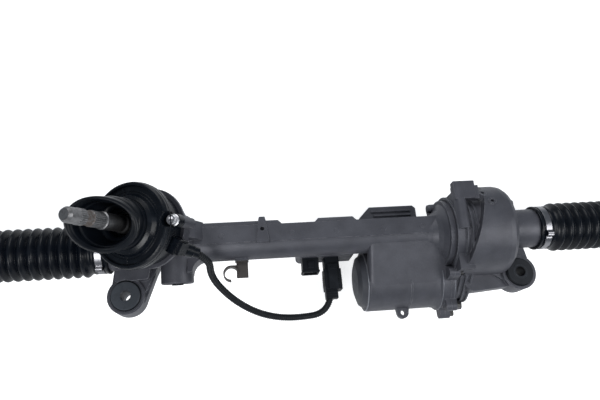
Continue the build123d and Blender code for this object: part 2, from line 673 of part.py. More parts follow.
def pinion():
    teeth = PINION * Pos(0, 0, -PINION_FACE / 2) * extrude(make_face(Polyline(
        *pinion_outline(), close=True)), PINION_FACE)
    lower = turned(PINION, [(0, -37), (6.5, -37), (7.5, -36), (7.5, -22), (6.1, -21),
                            (6.1, -PINION_FACE / 2), (0, -PINION_FACE / 2)])
    upper = turned(PINION, [
        (0, PINION_FACE / 2), (6.1, PINION_FACE / 2), (6.1, 17), (9.4, 18), (10.0 - SHAFT_CLEARANCE, 23),
        (10.0 - SHAFT_CLEARANCE, 38),
        (13.0, 38), (13.0, 56), (9.0, 56), (9.0, 44), (0, 44),
    ])
    return teeth + lower + upper


def low_bearing():
    return ring(PINION, 7.5 + SHAFT_CLEARANCE, seated(LOW_BEARING_R), -36, -22.5)


def high_bearing():
    return ring(PINION, 10.0, seated(HIGH_BEARING_R), 22.5, 37.5)


def pinion_cap():
    return turned(PINION, [(0, TOWER_LOW_T - 1), (15, TOWER_LOW_T - 1), (seated(16.0), TOWER_LOW_T),
                           (seated(16.0), -38.5), (0, -38.5)])


def torsion_bar():
    return turned(PINION, [(0, 44), (4.6, 44), (4.6, 50), (2.8, 54), (2.8, 92), (4.4, 96), (4.4, 104),
                           (0, 104)])


def input_shaft():
    """Hollow shaft over the torsion bar, with a splined tip and a groove for the pinch bolt."""
    bore = 5.0
    body = turned(PINION, [
        (bore, 46), (8.95, 46), (8.95, 57), (SHAFT_R, 58), (SHAFT_R, 96), (10.2, 97), (10.2, 112),
        (9.0, 114), (9.0, 142), (SPLINE_LOW_R, 144), (SHAFT_R, SPLINE_LOW_T), (SHAFT_R, PINCH_LOW_T - 0.8),
        (PINCH_R, PINCH_LOW_T), (PINCH_R, PINCH_HIGH_T), (SHAFT_R, PINCH_HIGH_T + 0.8),
        (SHAFT_R, SPLINE_HIGH_T), (SHAFT_R - 0.5, SPLINE_HIGH_T + 0.5), (SHAFT_R - 0.5, SHAFT_TIP_T - 3.5),
        (SHAFT_R - 1.0, SHAFT_TIP_T - 2.5), (SHAFT_R - 2.6, SHAFT_TIP_T), (0, SHAFT_TIP_T), (0, 104.2),
        (bore, 104.2),
    ])
    for i in range(24):
        if i in (6, 7):
            continue
        groove = PINION * Rot(0, 0, 15 * i) * Pos(SHAFT_R + 0.25, 0, SPLINE_LOW_T + 0.5) * Rot(
            0, 0, 45) * Box(
            1.35, 1.35, SPLINE_HIGH_T - SPLINE_LOW_T, align=(Align.CENTER, Align.CENTER, Align.MIN))
        body -= groove
    return body


def magnet_ring():
    return ring(PINION, SHAFT_R + SEAT_CLEARANCE, 15.0, 68, 80)


def torque_sensor():
    body = ring(PINION, 16.0, seated(COVER_SKIRT_R - 3), 70, 73.2)
    body += ring(PINION, 16.0, 19.0, 66, 82)
    for angle in (20, 65, 140, 215, 290):
        body += PINION * Rot(0, 0, angle) * Pos(28, 0, 73.2) * Box(
            8, 6, 2.4, align=(Align.CENTER, Align.CENTER, Align.MIN))
    return body


def sensor_cover():
    """Black cover: a skirt on the tower, a wide disc and a hub for the dash seal."""
    low = TOWER_HEAD_T + 2.0
    disc = COVER_DISC_T
    top = COVER_TOP_T
    body = turned(PINION, [
        (0, low), (COVER_SKIRT_R, low), (COVER_SKIRT_R, disc - 5), (COVER_R - 1, disc),
        (COVER_R, disc + 1.5),
        (COVER_R, top - 4), (COVER_R - 1, top - 1), (COVER_R - 2.5, top), (COVER_R - 4.5, top),
        (COVER_R - 5.5, top - 3),
        (35, top - 2), (32, top + 3), (28, top + 5), (0, top + 5),
    ])
    for angle in (-95.0, 0.0, 100.0, 190.0):
        body += PINION * Rot(0, 0, angle) * Pos(38, 0, top - 6) * Box(
            9, 1.4, 4.6, align=(Align.CENTER, Align.CENTER, Align.MIN))
    for x, y in SCREW_SPOTS:
        body -= rod(PINION * Pos(x, y, 0), 8.6, SCREW_T, top + 1)
        body += rod(PINION * Pos(x, y, 0), 7.6, SCREW_T - 10, SCREW_T)
    body -= rod(PINION, COVER_SKIRT_R - 3, low - 1, disc - 4)
    body -= rod(PINION, 30.0, low - 1, top - 4)
    body -= rod(PINION, 12.0, low - 1, top + 6)
    return body


CONNECTOR_ANGLE = -31.0
CONNECTOR = PINION * Rot(0, 0, CONNECTOR_ANGLE) * Pos(0, 0, 69) * Rot(0, 90, 0)


def cover_screws():
    bodies = []
    for x, y in SCREW_SPOTS:
        t = SCREW_T
        bodies.append(turned(PINION * Pos(x, y, 0), [
            (0, t), (6.6, t), (7.0, t + 1), (5.8, t + 1.8), (5.8, t + 6.4), (5.2, t + 7), (3.4, t + 7),
            (3.4, t + 3), (0, t + 3),
        ]))
    return Compound(bodies)


def dash_seal():
    """Open rubber cup around the input shaft; it sits a little askew and its rim is cut on a slant."""
    t0 = COVER_TOP_T + 5.0
    lip = SEAL_LIP_T
    r = SEAL_LIP_R
    askew = PINION * Pos(0, SEAL_OFFSET, t0) * Rot(SEAL_ASKEW, 0, 0) * Pos(0, 0, -t0)
    foot = turned(PINION, [(14.5, t0), (27.0, t0), (27.5, t0 + 1), (27.5, t0 + 6), (14.5, t0 + 6)])
    cup = turned(askew, [
        (15.0, t0 + 4), (27.0, t0 + 4), (27.5, t0 + 5), (27.5, t0 + 17), (26.5, t0 + 18), (26.5, t0 + 20),
        (27.5, t0 + 21), (r - 1.0, t0 + 23), (r, t0 + 25), (r, lip - 22), (r - 1.2, lip - 21),
        (r - 1.2, lip - 17),
        (r, lip - 16), (r + 0.4, lip - 4), (r - 0.4, lip), (r - 3.0, lip), (r - 4.2, lip - 2),
        (r - 4.6, t0 + 27), (r - 7.6, t0 + 24), (r - 9.0, t0 + 15), (17.0, t0 + 13), (15.0, t0 + 9),
    ])
    rim = PINION * Pos(0, 0, SEAL_RIM_T) * Rot(0, 0, SEAL_RIM_TURN) * Rot(0, SEAL_RIM_SLANT, 0)
    cup -= rim * Box(160, 160, 120, align=(Align.CENTER, Align.CENTER, Align.MIN))
    return foot + cup


def sensor_connector():
    """Black plug block on the side of the sensor cover with the conduit's gland."""
    body = CONNECTOR * Pos(0, 0, 36) * Box(19, 18, 18, align=(Align.CENTER, Align.CENTER, Align.MIN))
    body += CONNECTOR * Pos(0, 0, 53) * Box(15, 14, 5, align=(Align.CENTER, Align.CENTER, Align.MIN))
    gland = Plane(origin=GLAND_START, z_dir=CONDUIT_START_DIR).location
    body += turned(gland, [(0, -6), (7.4, -6), (7.4, 5), (6.2, 6), (6.2, 12), (0, 12)])
    body -= rod(PINION, COVER_SKIRT_R, 50, COVER_DISC_T - 5)
    body -= rod(PINION, COVER_R + 0.3, COVER_DISC_T - 5, COVER_TOP_T)
    body -= rod(PINION, TOWER_HEAD_R + 0.3, 40, TOWER_HEAD_T + 2)
    body -= conduit_solid(CONDUIT_R + SEAT_CLEARANCE)
    return body


# Corners of the conduit's route from the gland to the plug.
CONDUIT_POINTS = [
    (76.0, 38.5, 100.2), (105.0, 29.9, 86.0), (103.5, 13.0, 52.5), (125.0, -8.4, 26.0),
    (150.8, -24.3, 12.0), (177.6, -33.0, 3.5), (208.0, -35.5, -3.0), (248.8, -31.6, -4.0),
    (259.6, 8.0, -4.0), (260.0, 19.0, -4.0),
]
GLAND_START = (82.5, 36.5, 97.0)
CONDUIT_START_DIR = (Vector(*CONDUIT_POINTS[1]) - Vector(*CONDUIT_POINTS[0])).normalized()


def turn_radii(points):
    """Bend radius at each inner corner, from the shorter run beside it and the turn."""
    radii = []
    for a, b, c in zip(points, points[1:], points[2:]):
        before = Vector(*b) - Vector(*a)
        after = Vector(*c) - Vector(*b)
        turn = radians(before.get_angle(after))
        radii.append(0.45 * min(before.length, after.length) / tan(turn / 2))
    return radii


def conduit_path():
    return FilletPolyline(*CONDUIT_POINTS, radius=turn_radii(CONDUIT_POINTS))


def conduit_solid(r):
    path = conduit_path()
    start = Plane(origin=path @ 0, z_dir=path % 0)
    return sweep(start * Circle(r), path=path)


def sensor_conduit():
    path = conduit_path()
    body = conduit_solid(CONDUIT_R)
    print("conduit bend radii", [round(r, 1) for r in turn_radii(CONDUIT_POINTS)])
    print("conduit length", round(path.length, 1), "fill",
          round(body.volume / (pi * CONDUIT_R ** 2 * path.length), 4))
    return body


# ---------------------------------------------------------------- control unit


def ecu_outline(x0, x1, y0, y1):
    """Housing plan with the back corner away from the motor end cut off."""
    cut = 14.0
    return make_face(Polyline((x0, y0), (x1, y0), (x1, y1 - 4), (x1 - 4, y1), (x0 + cut, y1),
                              (x0, y1 - cut), close=True))


def ecu_housing():
    """Cast box under the tube with a narrow arm towards the sockets."""
    body = Pos(0, 0, ECU_BOTTOM) * extrude(ecu_outline(ECU_LEFT, ECU_RIGHT, ECU_FRONT, ECU_BACK),
                                           ECU_TOP - ECU_BOTTOM)
    arm = block(ARM_LEFT, ARM_RIGHT, ARM_FRONT, ARM_BACK, ARM_BOTTOM, ECU_TOP)
    arm = fillet(arm.edges().filter_by(Axis.Z).group_by(Axis.X)[0], 6)
    body += arm + block(ARM_RIGHT - 4, ECU_LEFT + 12, ECU_FRONT, ARM_BACK, ARM_BOTTOM, ECU_TOP)
    for i in range(4):
        y = ECU_BACK - 7 - 6.0 * i
        body += block(ECU_LEFT + 16 + 3 * i, ECU_RIGHT - 8, y - 1.1, y + 1.1, ECU_TOP - 1, ECU_TOP + 2.2)
    body -= block(ECU_LEFT + 5, ECU_RIGHT - 5, ECU_FRONT + 5, ECU_BACK - 18, ECU_BOTTOM - 1, ECU_TOP - 5)
    body -= block(ARM_LEFT + 5, ARM_RIGHT - 5, ARM_FRONT + 5, ARM_BACK - 5, ARM_BOTTOM - 1, ECU_TOP - 5)
    return body


def ecu_cover():
    plate = Pos(0, 0, ECU_BOTTOM - 4) * extrude(ecu_outline(ECU_LEFT, ECU_RIGHT, ECU_FRONT, ECU_BACK), 4)
    for i in range(7):
        x = ECU_LEFT + 15 + 8 * i
        plate += block(x, x + 2.2, ECU_FRONT + 6, ECU_BACK - 16, ECU_BOTTOM - 9, ECU_BOTTOM - 3)
    return plate


def arm_cover():
    plate = block(ARM_LEFT, ARM_RIGHT, ARM_FRONT, ARM_BACK, ARM_BOTTOM - 3, ARM_BOTTOM)
    return fillet(plate.edges().filter_by(Axis.Z).group_by(Axis.X)[0], 6)


def circuit_board():
    board = block(ECU_LEFT + 5.02, ECU_RIGHT - 5.02, ECU_FRONT + 5.02, ECU_BACK - 18.02, -12, -10.4)
    for x, y, w, d, h in ((320, 72, 16, 14, 4), (342, 69, 12, 8, 6), (363, 70, 12, 9, 8),
                          (344, 80, 22, 7, 3), (366, 80, 8, 7, 9)):
        board += block(x - w / 2, x + w / 2, y - d / 2, y + d / 2, -10.5, -10.5 + h)
    return board


def ecu_screws():
    heads = []
    for x in (ECU_LEFT + 7, ECU_RIGHT - 7):
        for y in (ECU_FRONT + 7, ECU_BACK - 19):
            heads.append(rod(Pos(x, y, 0), 3.5, ECU_BOTTOM - 7, ECU_BOTTOM - 4))
    return Compound(heads)


def vehicle_socket():
    """Open shroud of the vehicle harness socket with its contact pins."""
    x0 = VEHICLE_X - 11
    x1 = VEHICLE_X + 11
    body = block(x0, x1, 21, ARM_FRONT, SOCKET_Z - 11, SOCKET_Z + 11)
    body = fillet(body.edges().filter_by(Axis.Y), 2.5)
    body -= block(x0 + 2.2, x1 - 2.2, 20, ARM_FRONT - 5, SOCKET_Z - 8.8, SOCKET_Z + 8.8)
    for i in range(2):
        for k in range(3):
            body += block(VEHICLE_X - 6 + 6 * k - 0.9, VEHICLE_X - 6 + 6 * k + 0.9, 26, ARM_FRONT - 4,
                          SOCKET_Z - 4 + 8 * i - 0.9, SOCKET_Z - 4 + 8 * i + 0.9)
    return body


def sensor_socket():
    body = block(SENSOR_X - 10, SENSOR_X + 10, 22, ARM_FRONT, SOCKET_Z - 10, SOCKET_Z + 10)
    body = fillet(body.edges().filter_by(Axis.Y), 2)
    return body


def sensor_plug():
    """Plug body over its socket with a smaller boot where the conduit enters."""
    body = block(SENSOR_X - 11.5, SENSOR_X + 11.5, -3, 24, SOCKET_Z - 11.5, SOCKET_Z + 11.5)
    body = fillet(body.edges().filter_by(Axis.Y), 2)
    body += block(SENSOR_X - 6, SENSOR_X + 6, -2, 30, SOCKET_Z + 11, SOCKET_Z + 14)
    body += block(SENSOR_X - 10.5, SENSOR_X + 5.5, -14, -2.9, SOCKET_Z - 6.5, SOCKET_Z + 6.5)
    body -= conduit_solid(CONDUIT_R + SEAT_CLEARANCE)
    body -= sensor_socket()
    return body


# ---------------------------------------------------------------- rack ends


def end_frame(x, side):
    """Frame on the rack axis with local Z pointing outwards; side is -1 left, +1 right."""
    frame = RACK_AXIS * Pos(0, 0, x)
    return frame * Rot(180, 0, 0) if side < 0 else frame


def ball_socket(ball_x, side):
    """Screwed socket around the inner ball joint; side is -1 left, +1 right."""
    frame = end_frame(ball_x, side)
    body = turned(frame, [
        (0, -42), (8.0 - SEAT_CLEARANCE, -42), (8.0 - SEAT_CLEARANCE, -22), (SOCKET_R - 3, -22),
        (SOCKET_R, -19), (SOCKET_R, 8),
        (SOCKET_R - 2, 12), (SOCKET_R - 3.5, 12), (BALL_R + 1.2, 6), (BALL_R + 1.8, 0), (BALL_R + 1.8, -6),
        (9, -15.5), (0, -15.5),
    ])
    for angle in (0, 180):
        flat = frame * Rot(0, 0, angle) * Pos(SOCKET_R - 1.5, 0, -18) * Box(
            6, 40, 12, align=(Align.MIN, Align.CENTER, Align.MIN))
        body -= flat
    return body


def ball_seat(ball_x, side):
    frame = end_frame(ball_x, side)
    body = turned(frame, [(0, -15.4), (8.6, -15.4), (BALL_R + 1.75, -6.0), (BALL_R + 1.75, 0),
                          (BALL_R + 1.15, 6), (0, 6)])
    body -= frame * Sphere(BALL_R + SHAFT_CLEARANCE)
    return body


def tie_rod(ball_x, side):
    """Rod with its inner ball, spanner flats and thread, at root depth under the nut."""
    frame = end_frame(ball_x, side)
    thread = ROD_LENGTH - THREAD_LENGTH
    free = thread + LOCK_NUT_FROM_THREAD + LOCK_NUT_HIGH
    neck = sqrt(BALL_R ** 2 - ROD_NECK_R ** 2)
    shank = turned(frame, [
        (0, 0), (ROD_NECK_R, 0), (ROD_NECK_R, neck + 3), (ROD_R, neck + 8), (ROD_R, thread - 16),
        (ROD_R + 1.6, thread - 14), (ROD_R + 1.6, thread - 2), (THREAD_ROOT_R, thread),
        (THREAD_ROOT_R, free + 0.6),
        (THREAD_R, free + 1), (THREAD_R, ROD_LENGTH - 1.2), (THREAD_R - 1.2, ROD_LENGTH), (0, ROD_LENGTH),
    ])
    body = shank + frame * Sphere(BALL_R)
    for angle in (0, 180):
        flat = frame * Rot(0, 0, angle) * Pos(ROD_R + 0.3, 0, thread - 13) * Box(
            4, 30, 10, align=(Align.MIN, Align.CENTER, Align.MIN))
        body -= flat
    return body


def lock_nut(ball_x, side):
    low = ROD_LENGTH - THREAD_LENGTH + LOCK_NUT_FROM_THREAD
    high = low + LOCK_NUT_HIGH
    frame = end_frame(ball_x, side)
    body = frame * Pos(0, 0, low) * extrude(RegularPolygon(LOCK_NUT_R, 6), LOCK_NUT_HIGH)
    limit = turned(frame, [
        (0, low), (LOCK_NUT_R - 1.6, low), (LOCK_NUT_R + 0.2, low + 1.2), (LOCK_NUT_R + 0.2, high - 1.2),
        (LOCK_NUT_R - 1.6, high), (0, high),
    ])
    body = body & limit
    body -= rod(frame, THREAD_ROOT_R + SEAT_CLEARANCE, low - 1, high + 1)
    return body


def bellows(start_x, side):
    """Folded rubber boot from the housing neck out to the tie rod, with a plain inner wall."""
    frame = end_frame(start_x, side)
    pitch = FOLD_LENGTH / BELLOWS_PITCHES
    w = BELLOWS_WALL
    neck = NECK_R + SEAT_CLEARANCE
    crest = BELLOWS_CREST_R
    outer = [(NECK_R + 2.6, 0), (NECK_R + 2.0, 2), (NECK_R + 2.0, 15), (crest - 1.0, COLLAR_LENGTH - 2)]
    for i in range(BELLOWS_PITCHES):
        x = COLLAR_LENGTH + pitch * i
        outer += [(crest, x + 0.2 * pitch), (BELLOWS_ROOT_R, x + 0.7 * pitch)]
    x = COLLAR_LENGTH + FOLD_LENGTH
    rod_r = ROD_R + SHAFT_CLEARANCE
    outer += [(crest - 3, x), (ROD_R + 2.6, x + 4), (ROD_R + 2.6, x + SMALL_COLLAR)]
    inner = [(rod_r, x + SMALL_COLLAR), (rod_r, x + 3), (BELLOWS_ROOT_R - w, x - 1),
             (BELLOWS_ROOT_R - w, 22), (neck, 20.2), (neck, 0)]
    return turned(frame, outer + inner)


def big_clamp(start_x, side):
    frame = end_frame(start_x, side)
    r = NECK_R + 2.0
    body = ring(frame, r, r + 1.4, 6, 14)
    turn = 150.0 if side > 0 else -35.0
    ear = frame * Rot(0, 0, turn) * Pos(r + 3.4, 0, 6) * Box(5.2, 7.5, 6,
                                                             align=(Align.CENTER, Align.CENTER, Align.MIN))
    return body + ear


def small_clamp(start_x, side):
    frame = end_frame(start_x, side)
    x = COLLAR_LENGTH + FOLD_LENGTH + 7
    r = ROD_R + 2.6
    body = ring(frame, r, r + 1.2, x, x + 6)
    ear = frame * Rot(0, 0, 90) * Pos(r + 2.6, 0, x + 0.5) * Box(
        4.4, 6, 5, align=(Align.CENTER, Align.CENTER, Align.MIN))
    return body + ear


def bump_stop(x0):
    return ring(RACK_AXIS, RACK_R + 1.2, NECK_BORE_R - SEAT_CLEARANCE, x0, x0 + STOP_THICK)


def rack_bush():
    return ring(RACK_AXIS, RACK_R + SHAFT_CLEARANCE, TUBE_BORE_R - SEAT_CLEARANCE, LEFT_STOP + 0.2, 10)


def hose_clip():
    """Bent steel strip with an open hook, screwed to the tube."""
    z0 = RACK_Z - 7
    z1 = RACK_Z + 5
    y_wall = RACK_Y - TUBE_R - 2
    plate = block(134.5, 149, 13, y_wall, z0 + 6, z0 + 7.6)
    foot = block(134.5, 149, y_wall - 1.6, y_wall, z0, z1)
    hook_centre = (127.5, 19.5)
    hook_ring = Cylinder(9.6, 12, align=(Align.CENTER, Align.CENTER, Align.MIN))
    hook_ring -= Cylinder(8.0, 12, align=(Align.CENTER, Align.CENTER, Align.MIN))
    hook = Pos(hook_centre[0], hook_centre[1], z0 - 2) * hook_ring
    hook -= block(127.5, 141, 4, 19.5, z0 - 3, z0 + 20)
    hook += block(127.5, 136, 27.5, 29.1, z0 - 2, z0 + 10)
    body = plate + foot + hook
    body -= rod(Plane(origin=(141.7, y_wall, z1 - 3), z_dir=(0, -1, 0)).location, 1.6, -3, 3)
    return body


NODES = {
    "main_housing": main_housing,
    "gear_cover": gear_cover,
    "flange_bolts": flange_bolts,
    "motor_cap": motor_cap,
    "motor_stator": motor_stator,
    "motor_bearing": motor_bearing,
    "nut_bearing": nut_bearing,
    "ecu_housing": ecu_housing,
    "ecu_cover": ecu_cover,
    "arm_cover": arm_cover,
    "ecu_screws": ecu_screws,
    "circuit_board": circuit_board,
    "vehicle_socket": vehicle_socket,
    "sensor_socket": sensor_socket,
    "sensor_plug": sensor_plug,
    "sensor_conduit": sensor_conduit,
    "sensor_connector": sensor_connector,
    "sensor_cover": sensor_cover,
    "cover_screws": cover_screws,
    "torque_sensor": torque_sensor,
    "dash_seal": dash_seal,
    "low_bearing": low_bearing,
    "high_bearing": high_bearing,
    "pinion_cap": pinion_cap,
    "yoke": yoke,
    "yoke_spring": yoke_spring,
    "yoke_plug": yoke_plug,
    "rack_bush": rack_bush,
    "hose_clip": hose_clip,
    "drive_belt": drive_belt,
    "rack_bar": rack_bar,
    "pinion": pinion,
    "torsion_bar": torsion_bar,
    "input_shaft": input_shaft,
    "magnet_ring": magnet_ring,
    "ball_nut": ball_nut,
    "rotor_shaft": rotor_shaft,
    "rotor": rotor,
}

for node_name, make in NODES.items():
    save(make(), node_name)

save(toothed_pulley(RACK_AXIS, 26.0 + SEAT_CLEARANCE, NUT_PULLEY_R, NUT_PULLEY_TEETH, BELT_LEFT,
                    BELT_RIGHT), "nut_pulley")
save(toothed_pulley(MOTOR_AXIS, 6.0 + SEAT_CLEARANCE, MOTOR_PULLEY_R, MOTOR_PULLEY_TEETH, BELT_LEFT,
                    BELT_RIGHT), "motor_pulley")

for side_name, side, bush_x, ball_x, bellows_x in (
    ("left", -1, 0.0, LEFT_BALL_X, LEFT_BELLOWS_X),
    ("right", 1, BUSH_SPACING, RIGHT_BALL_X, RIGHT_BELLOWS_X),
):
    save(bush_rubber(bush_x), f"{side_name}_bush_rubber")
    save(bush_sleeve(bush_x), f"{side_name}_bush_sleeve")
    save(ball_socket(ball_x, side), f"{side_name}_ball_socket")
    save(ball_seat(ball_x, side), f"{side_name}_ball_seat")
    save(tie_rod(ball_x, side), f"{side_name}_tie_rod")
    save(lock_nut(ball_x, side), f"{side_name}_lock_nut")
    save(bellows(bellows_x, side), f"{side_name}_bellows")
    save(big_clamp(bellows_x, side), f"{side_name}_big_clamp")
    save(small_clamp(bellows_x, side), f"{side_name}_small_clamp")

save(bump_stop(LEFT_STOP - STOP_THICK), "left_bump_stop")
save(bump_stop(RIGHT_STOP), "right_bump_stop")
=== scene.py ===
"""Looks of an electric steering rack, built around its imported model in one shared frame."""
import logging
import math
from dataclasses import dataclass
from enum import Enum
from typing import Callable, Iterable, Optional, Sequence, Union

import bmesh
import bpy
from mathutils import Matrix, Vector


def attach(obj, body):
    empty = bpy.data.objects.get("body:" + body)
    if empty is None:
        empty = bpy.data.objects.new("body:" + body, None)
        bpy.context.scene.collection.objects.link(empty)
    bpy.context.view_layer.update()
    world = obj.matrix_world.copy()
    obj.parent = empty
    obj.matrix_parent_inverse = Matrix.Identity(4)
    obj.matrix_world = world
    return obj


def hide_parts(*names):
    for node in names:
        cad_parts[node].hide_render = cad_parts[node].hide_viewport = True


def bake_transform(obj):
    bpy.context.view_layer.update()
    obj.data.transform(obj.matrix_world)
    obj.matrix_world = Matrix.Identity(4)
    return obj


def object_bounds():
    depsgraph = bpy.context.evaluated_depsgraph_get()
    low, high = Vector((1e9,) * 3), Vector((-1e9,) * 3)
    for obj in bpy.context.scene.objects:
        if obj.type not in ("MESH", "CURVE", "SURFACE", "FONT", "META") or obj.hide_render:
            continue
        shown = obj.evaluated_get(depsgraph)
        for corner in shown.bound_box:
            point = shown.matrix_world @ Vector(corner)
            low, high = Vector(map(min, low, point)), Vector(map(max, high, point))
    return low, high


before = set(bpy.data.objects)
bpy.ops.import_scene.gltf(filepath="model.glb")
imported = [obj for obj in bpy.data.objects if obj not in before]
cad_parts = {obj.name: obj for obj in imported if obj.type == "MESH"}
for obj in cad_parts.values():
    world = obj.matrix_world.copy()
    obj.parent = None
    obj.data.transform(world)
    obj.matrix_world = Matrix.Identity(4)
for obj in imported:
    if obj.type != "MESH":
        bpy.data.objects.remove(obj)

LOG = logging.getLogger("steering_rack")
MM = 0.001
Triple = tuple[float, float, float]
Colour = Triple
Outline = Sequence[tuple[float, float]]
CAD_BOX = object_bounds()
# Axes of the rack, the motor and the pinion in the row frame, in millimetres.
RACK_Y, RACK_Z = 57.0, 35.0
MOTOR_Y, MOTOR_Z = 7.5, -10.0
PINION_FOOT = (61.5, 74.487, 37.738)
PINION_ALONG = (-0.40514, -0.14144, 0.90325)


class Slot(Enum):
    """Material slots that the record names."""

    CAST = "cast_aluminium"
    PLASTIC = "black_plastic"
    RUBBER = "rubber"
    STEEL = "steel"
    DARK_STEEL = "dark_steel"
    BAND = "band_steel"
    POLYMER = "polymer"
    BOARD = "board"
    MAGNET = "magnet"


class Side(Enum):
    """The two ends of the rack, as the direction that points outwards."""

    LEFT = -1
    RIGHT = 1

    @property
    def word(self) -> str:
        """Name of the side as the nodes have it."""
        return self.name.lower()


# ---------------------------------------------------------------- node expressions


def binary(operation: str, swapped: bool = False) -> Callable[["Value", "Operand"], "Value"]:
    """Makes a method of Value that takes one more operand.

    Args:
        operation: operation of the Math node.
        swapped: True puts the other operand first.

    Returns:
        The method.
    """
    def method(self: "Value", other: "Operand") -> "Value":
        """Result of the operation on both operands."""
        return self.calculate(operation, *((other, self) if swapped else (self, other)))

    return method


def unary(operation: str) -> Callable[["Value"], "Value"]:
    """Makes a method of Value that takes no further operand.

    Args:
        operation: operation of the Math node, with angles in radians.

    Returns:
        The method.
    """
    def method(self: "Value") -> "Value":
        """Result of the operation."""
        return self.calculate(operation, self)

    return method


class Value:
    """One output socket of a node, with the operators of plain arithmetic."""

    def __init__(self, nodes: "Nodes", socket: bpy.types.NodeSocket) -> None:
        """Wraps a socket.

        Args:
            nodes: tree that the socket belongs to.
            socket: output that the expression reads.
        """
        self.nodes = nodes
        self.socket = socket

    def calculate(self, operation: str, *operands: "Operand") -> "Value":
        """Adds a Math node for the operation and returns its result."""
        return self.nodes.node("ShaderNodeMath", {"operation": operation}, dict(enumerate(operands)))

    __add__, __radd__ = binary("ADD"), binary("ADD", True)
    __sub__, __rsub__ = binary("SUBTRACT"), binary("SUBTRACT", True)
    __mul__, __rmul__ = binary("MULTIPLY"), binary("MULTIPLY", True)
    __truediv__, __pow__, atan2 = binary("DIVIDE"), binary("POWER"), binary("ARCTAN2")
    cos, sin, fraction = unary("COSINE"), unary("SINE"), unary("FRACT")

    def between(self, low: float, high: float) -> "Value":
        """Smooth step from 0 at low to 1 at high.

        Args:
            low: value that gives 0.
            high: value that gives 1.

        Returns:
            The stepped value, clamped.
        """
        settings = {"interpolation_type": "SMOOTHSTEP", "clamp": True}
        return self.nodes.node("ShaderNodeMapRange", settings,
                               {"Value": self, "From Min": low, "From Max": high})


Operand = Union[Value, float, int]
Input = Union[Value, float, int, bool, str, Sequence[float], bpy.types.ID]


class Nodes:
    """A node tree that is filled by one method."""

    def __init__(self, tree: bpy.types.NodeTree) -> None:
        """Keeps the tree.

        Args:
            tree: shader or geometry node tree.
        """
        self.tree = tree

    def node(self, kind: str, settings: Optional[dict] = None, inputs: Optional[dict] = None,
             output: Union[int, str] = 0) -> Value:
        """Adds one node.

        Args:
            kind: type name of the node.
            settings: properties that are set first.
            inputs: values or links by socket name or number.
            output: which output the result reads.

        Returns:
            The chosen output, ready for arithmetic.
        """
        made = self.tree.nodes.new(kind)
        for key, value in (settings or {}).items():
            setattr(made, key, value)
        for key, value in (inputs or {}).items():
            socket = made.inputs[key]
            if isinstance(value, Value):
                self.tree.links.new(value.socket, socket)
            else:
                socket.default_value = value
        usable = [s for s in made.outputs if s.enabled]
        socket = usable[output] if isinstance(output, int) and usable else made.outputs.get(output)
        return Value(self, socket)

    def vector(self, *parts: Operand) -> Value:
        """Vector of three numbers."""
        return self.node("ShaderNodeCombineXYZ", inputs=dict(enumerate(parts)))

    def part(self, vector: Value, which: int) -> Value:
        """One number of a vector: 0, 1 or 2 for X, Y or Z."""
        return self.node("ShaderNodeSeparateXYZ", inputs={0: vector}, output=which)


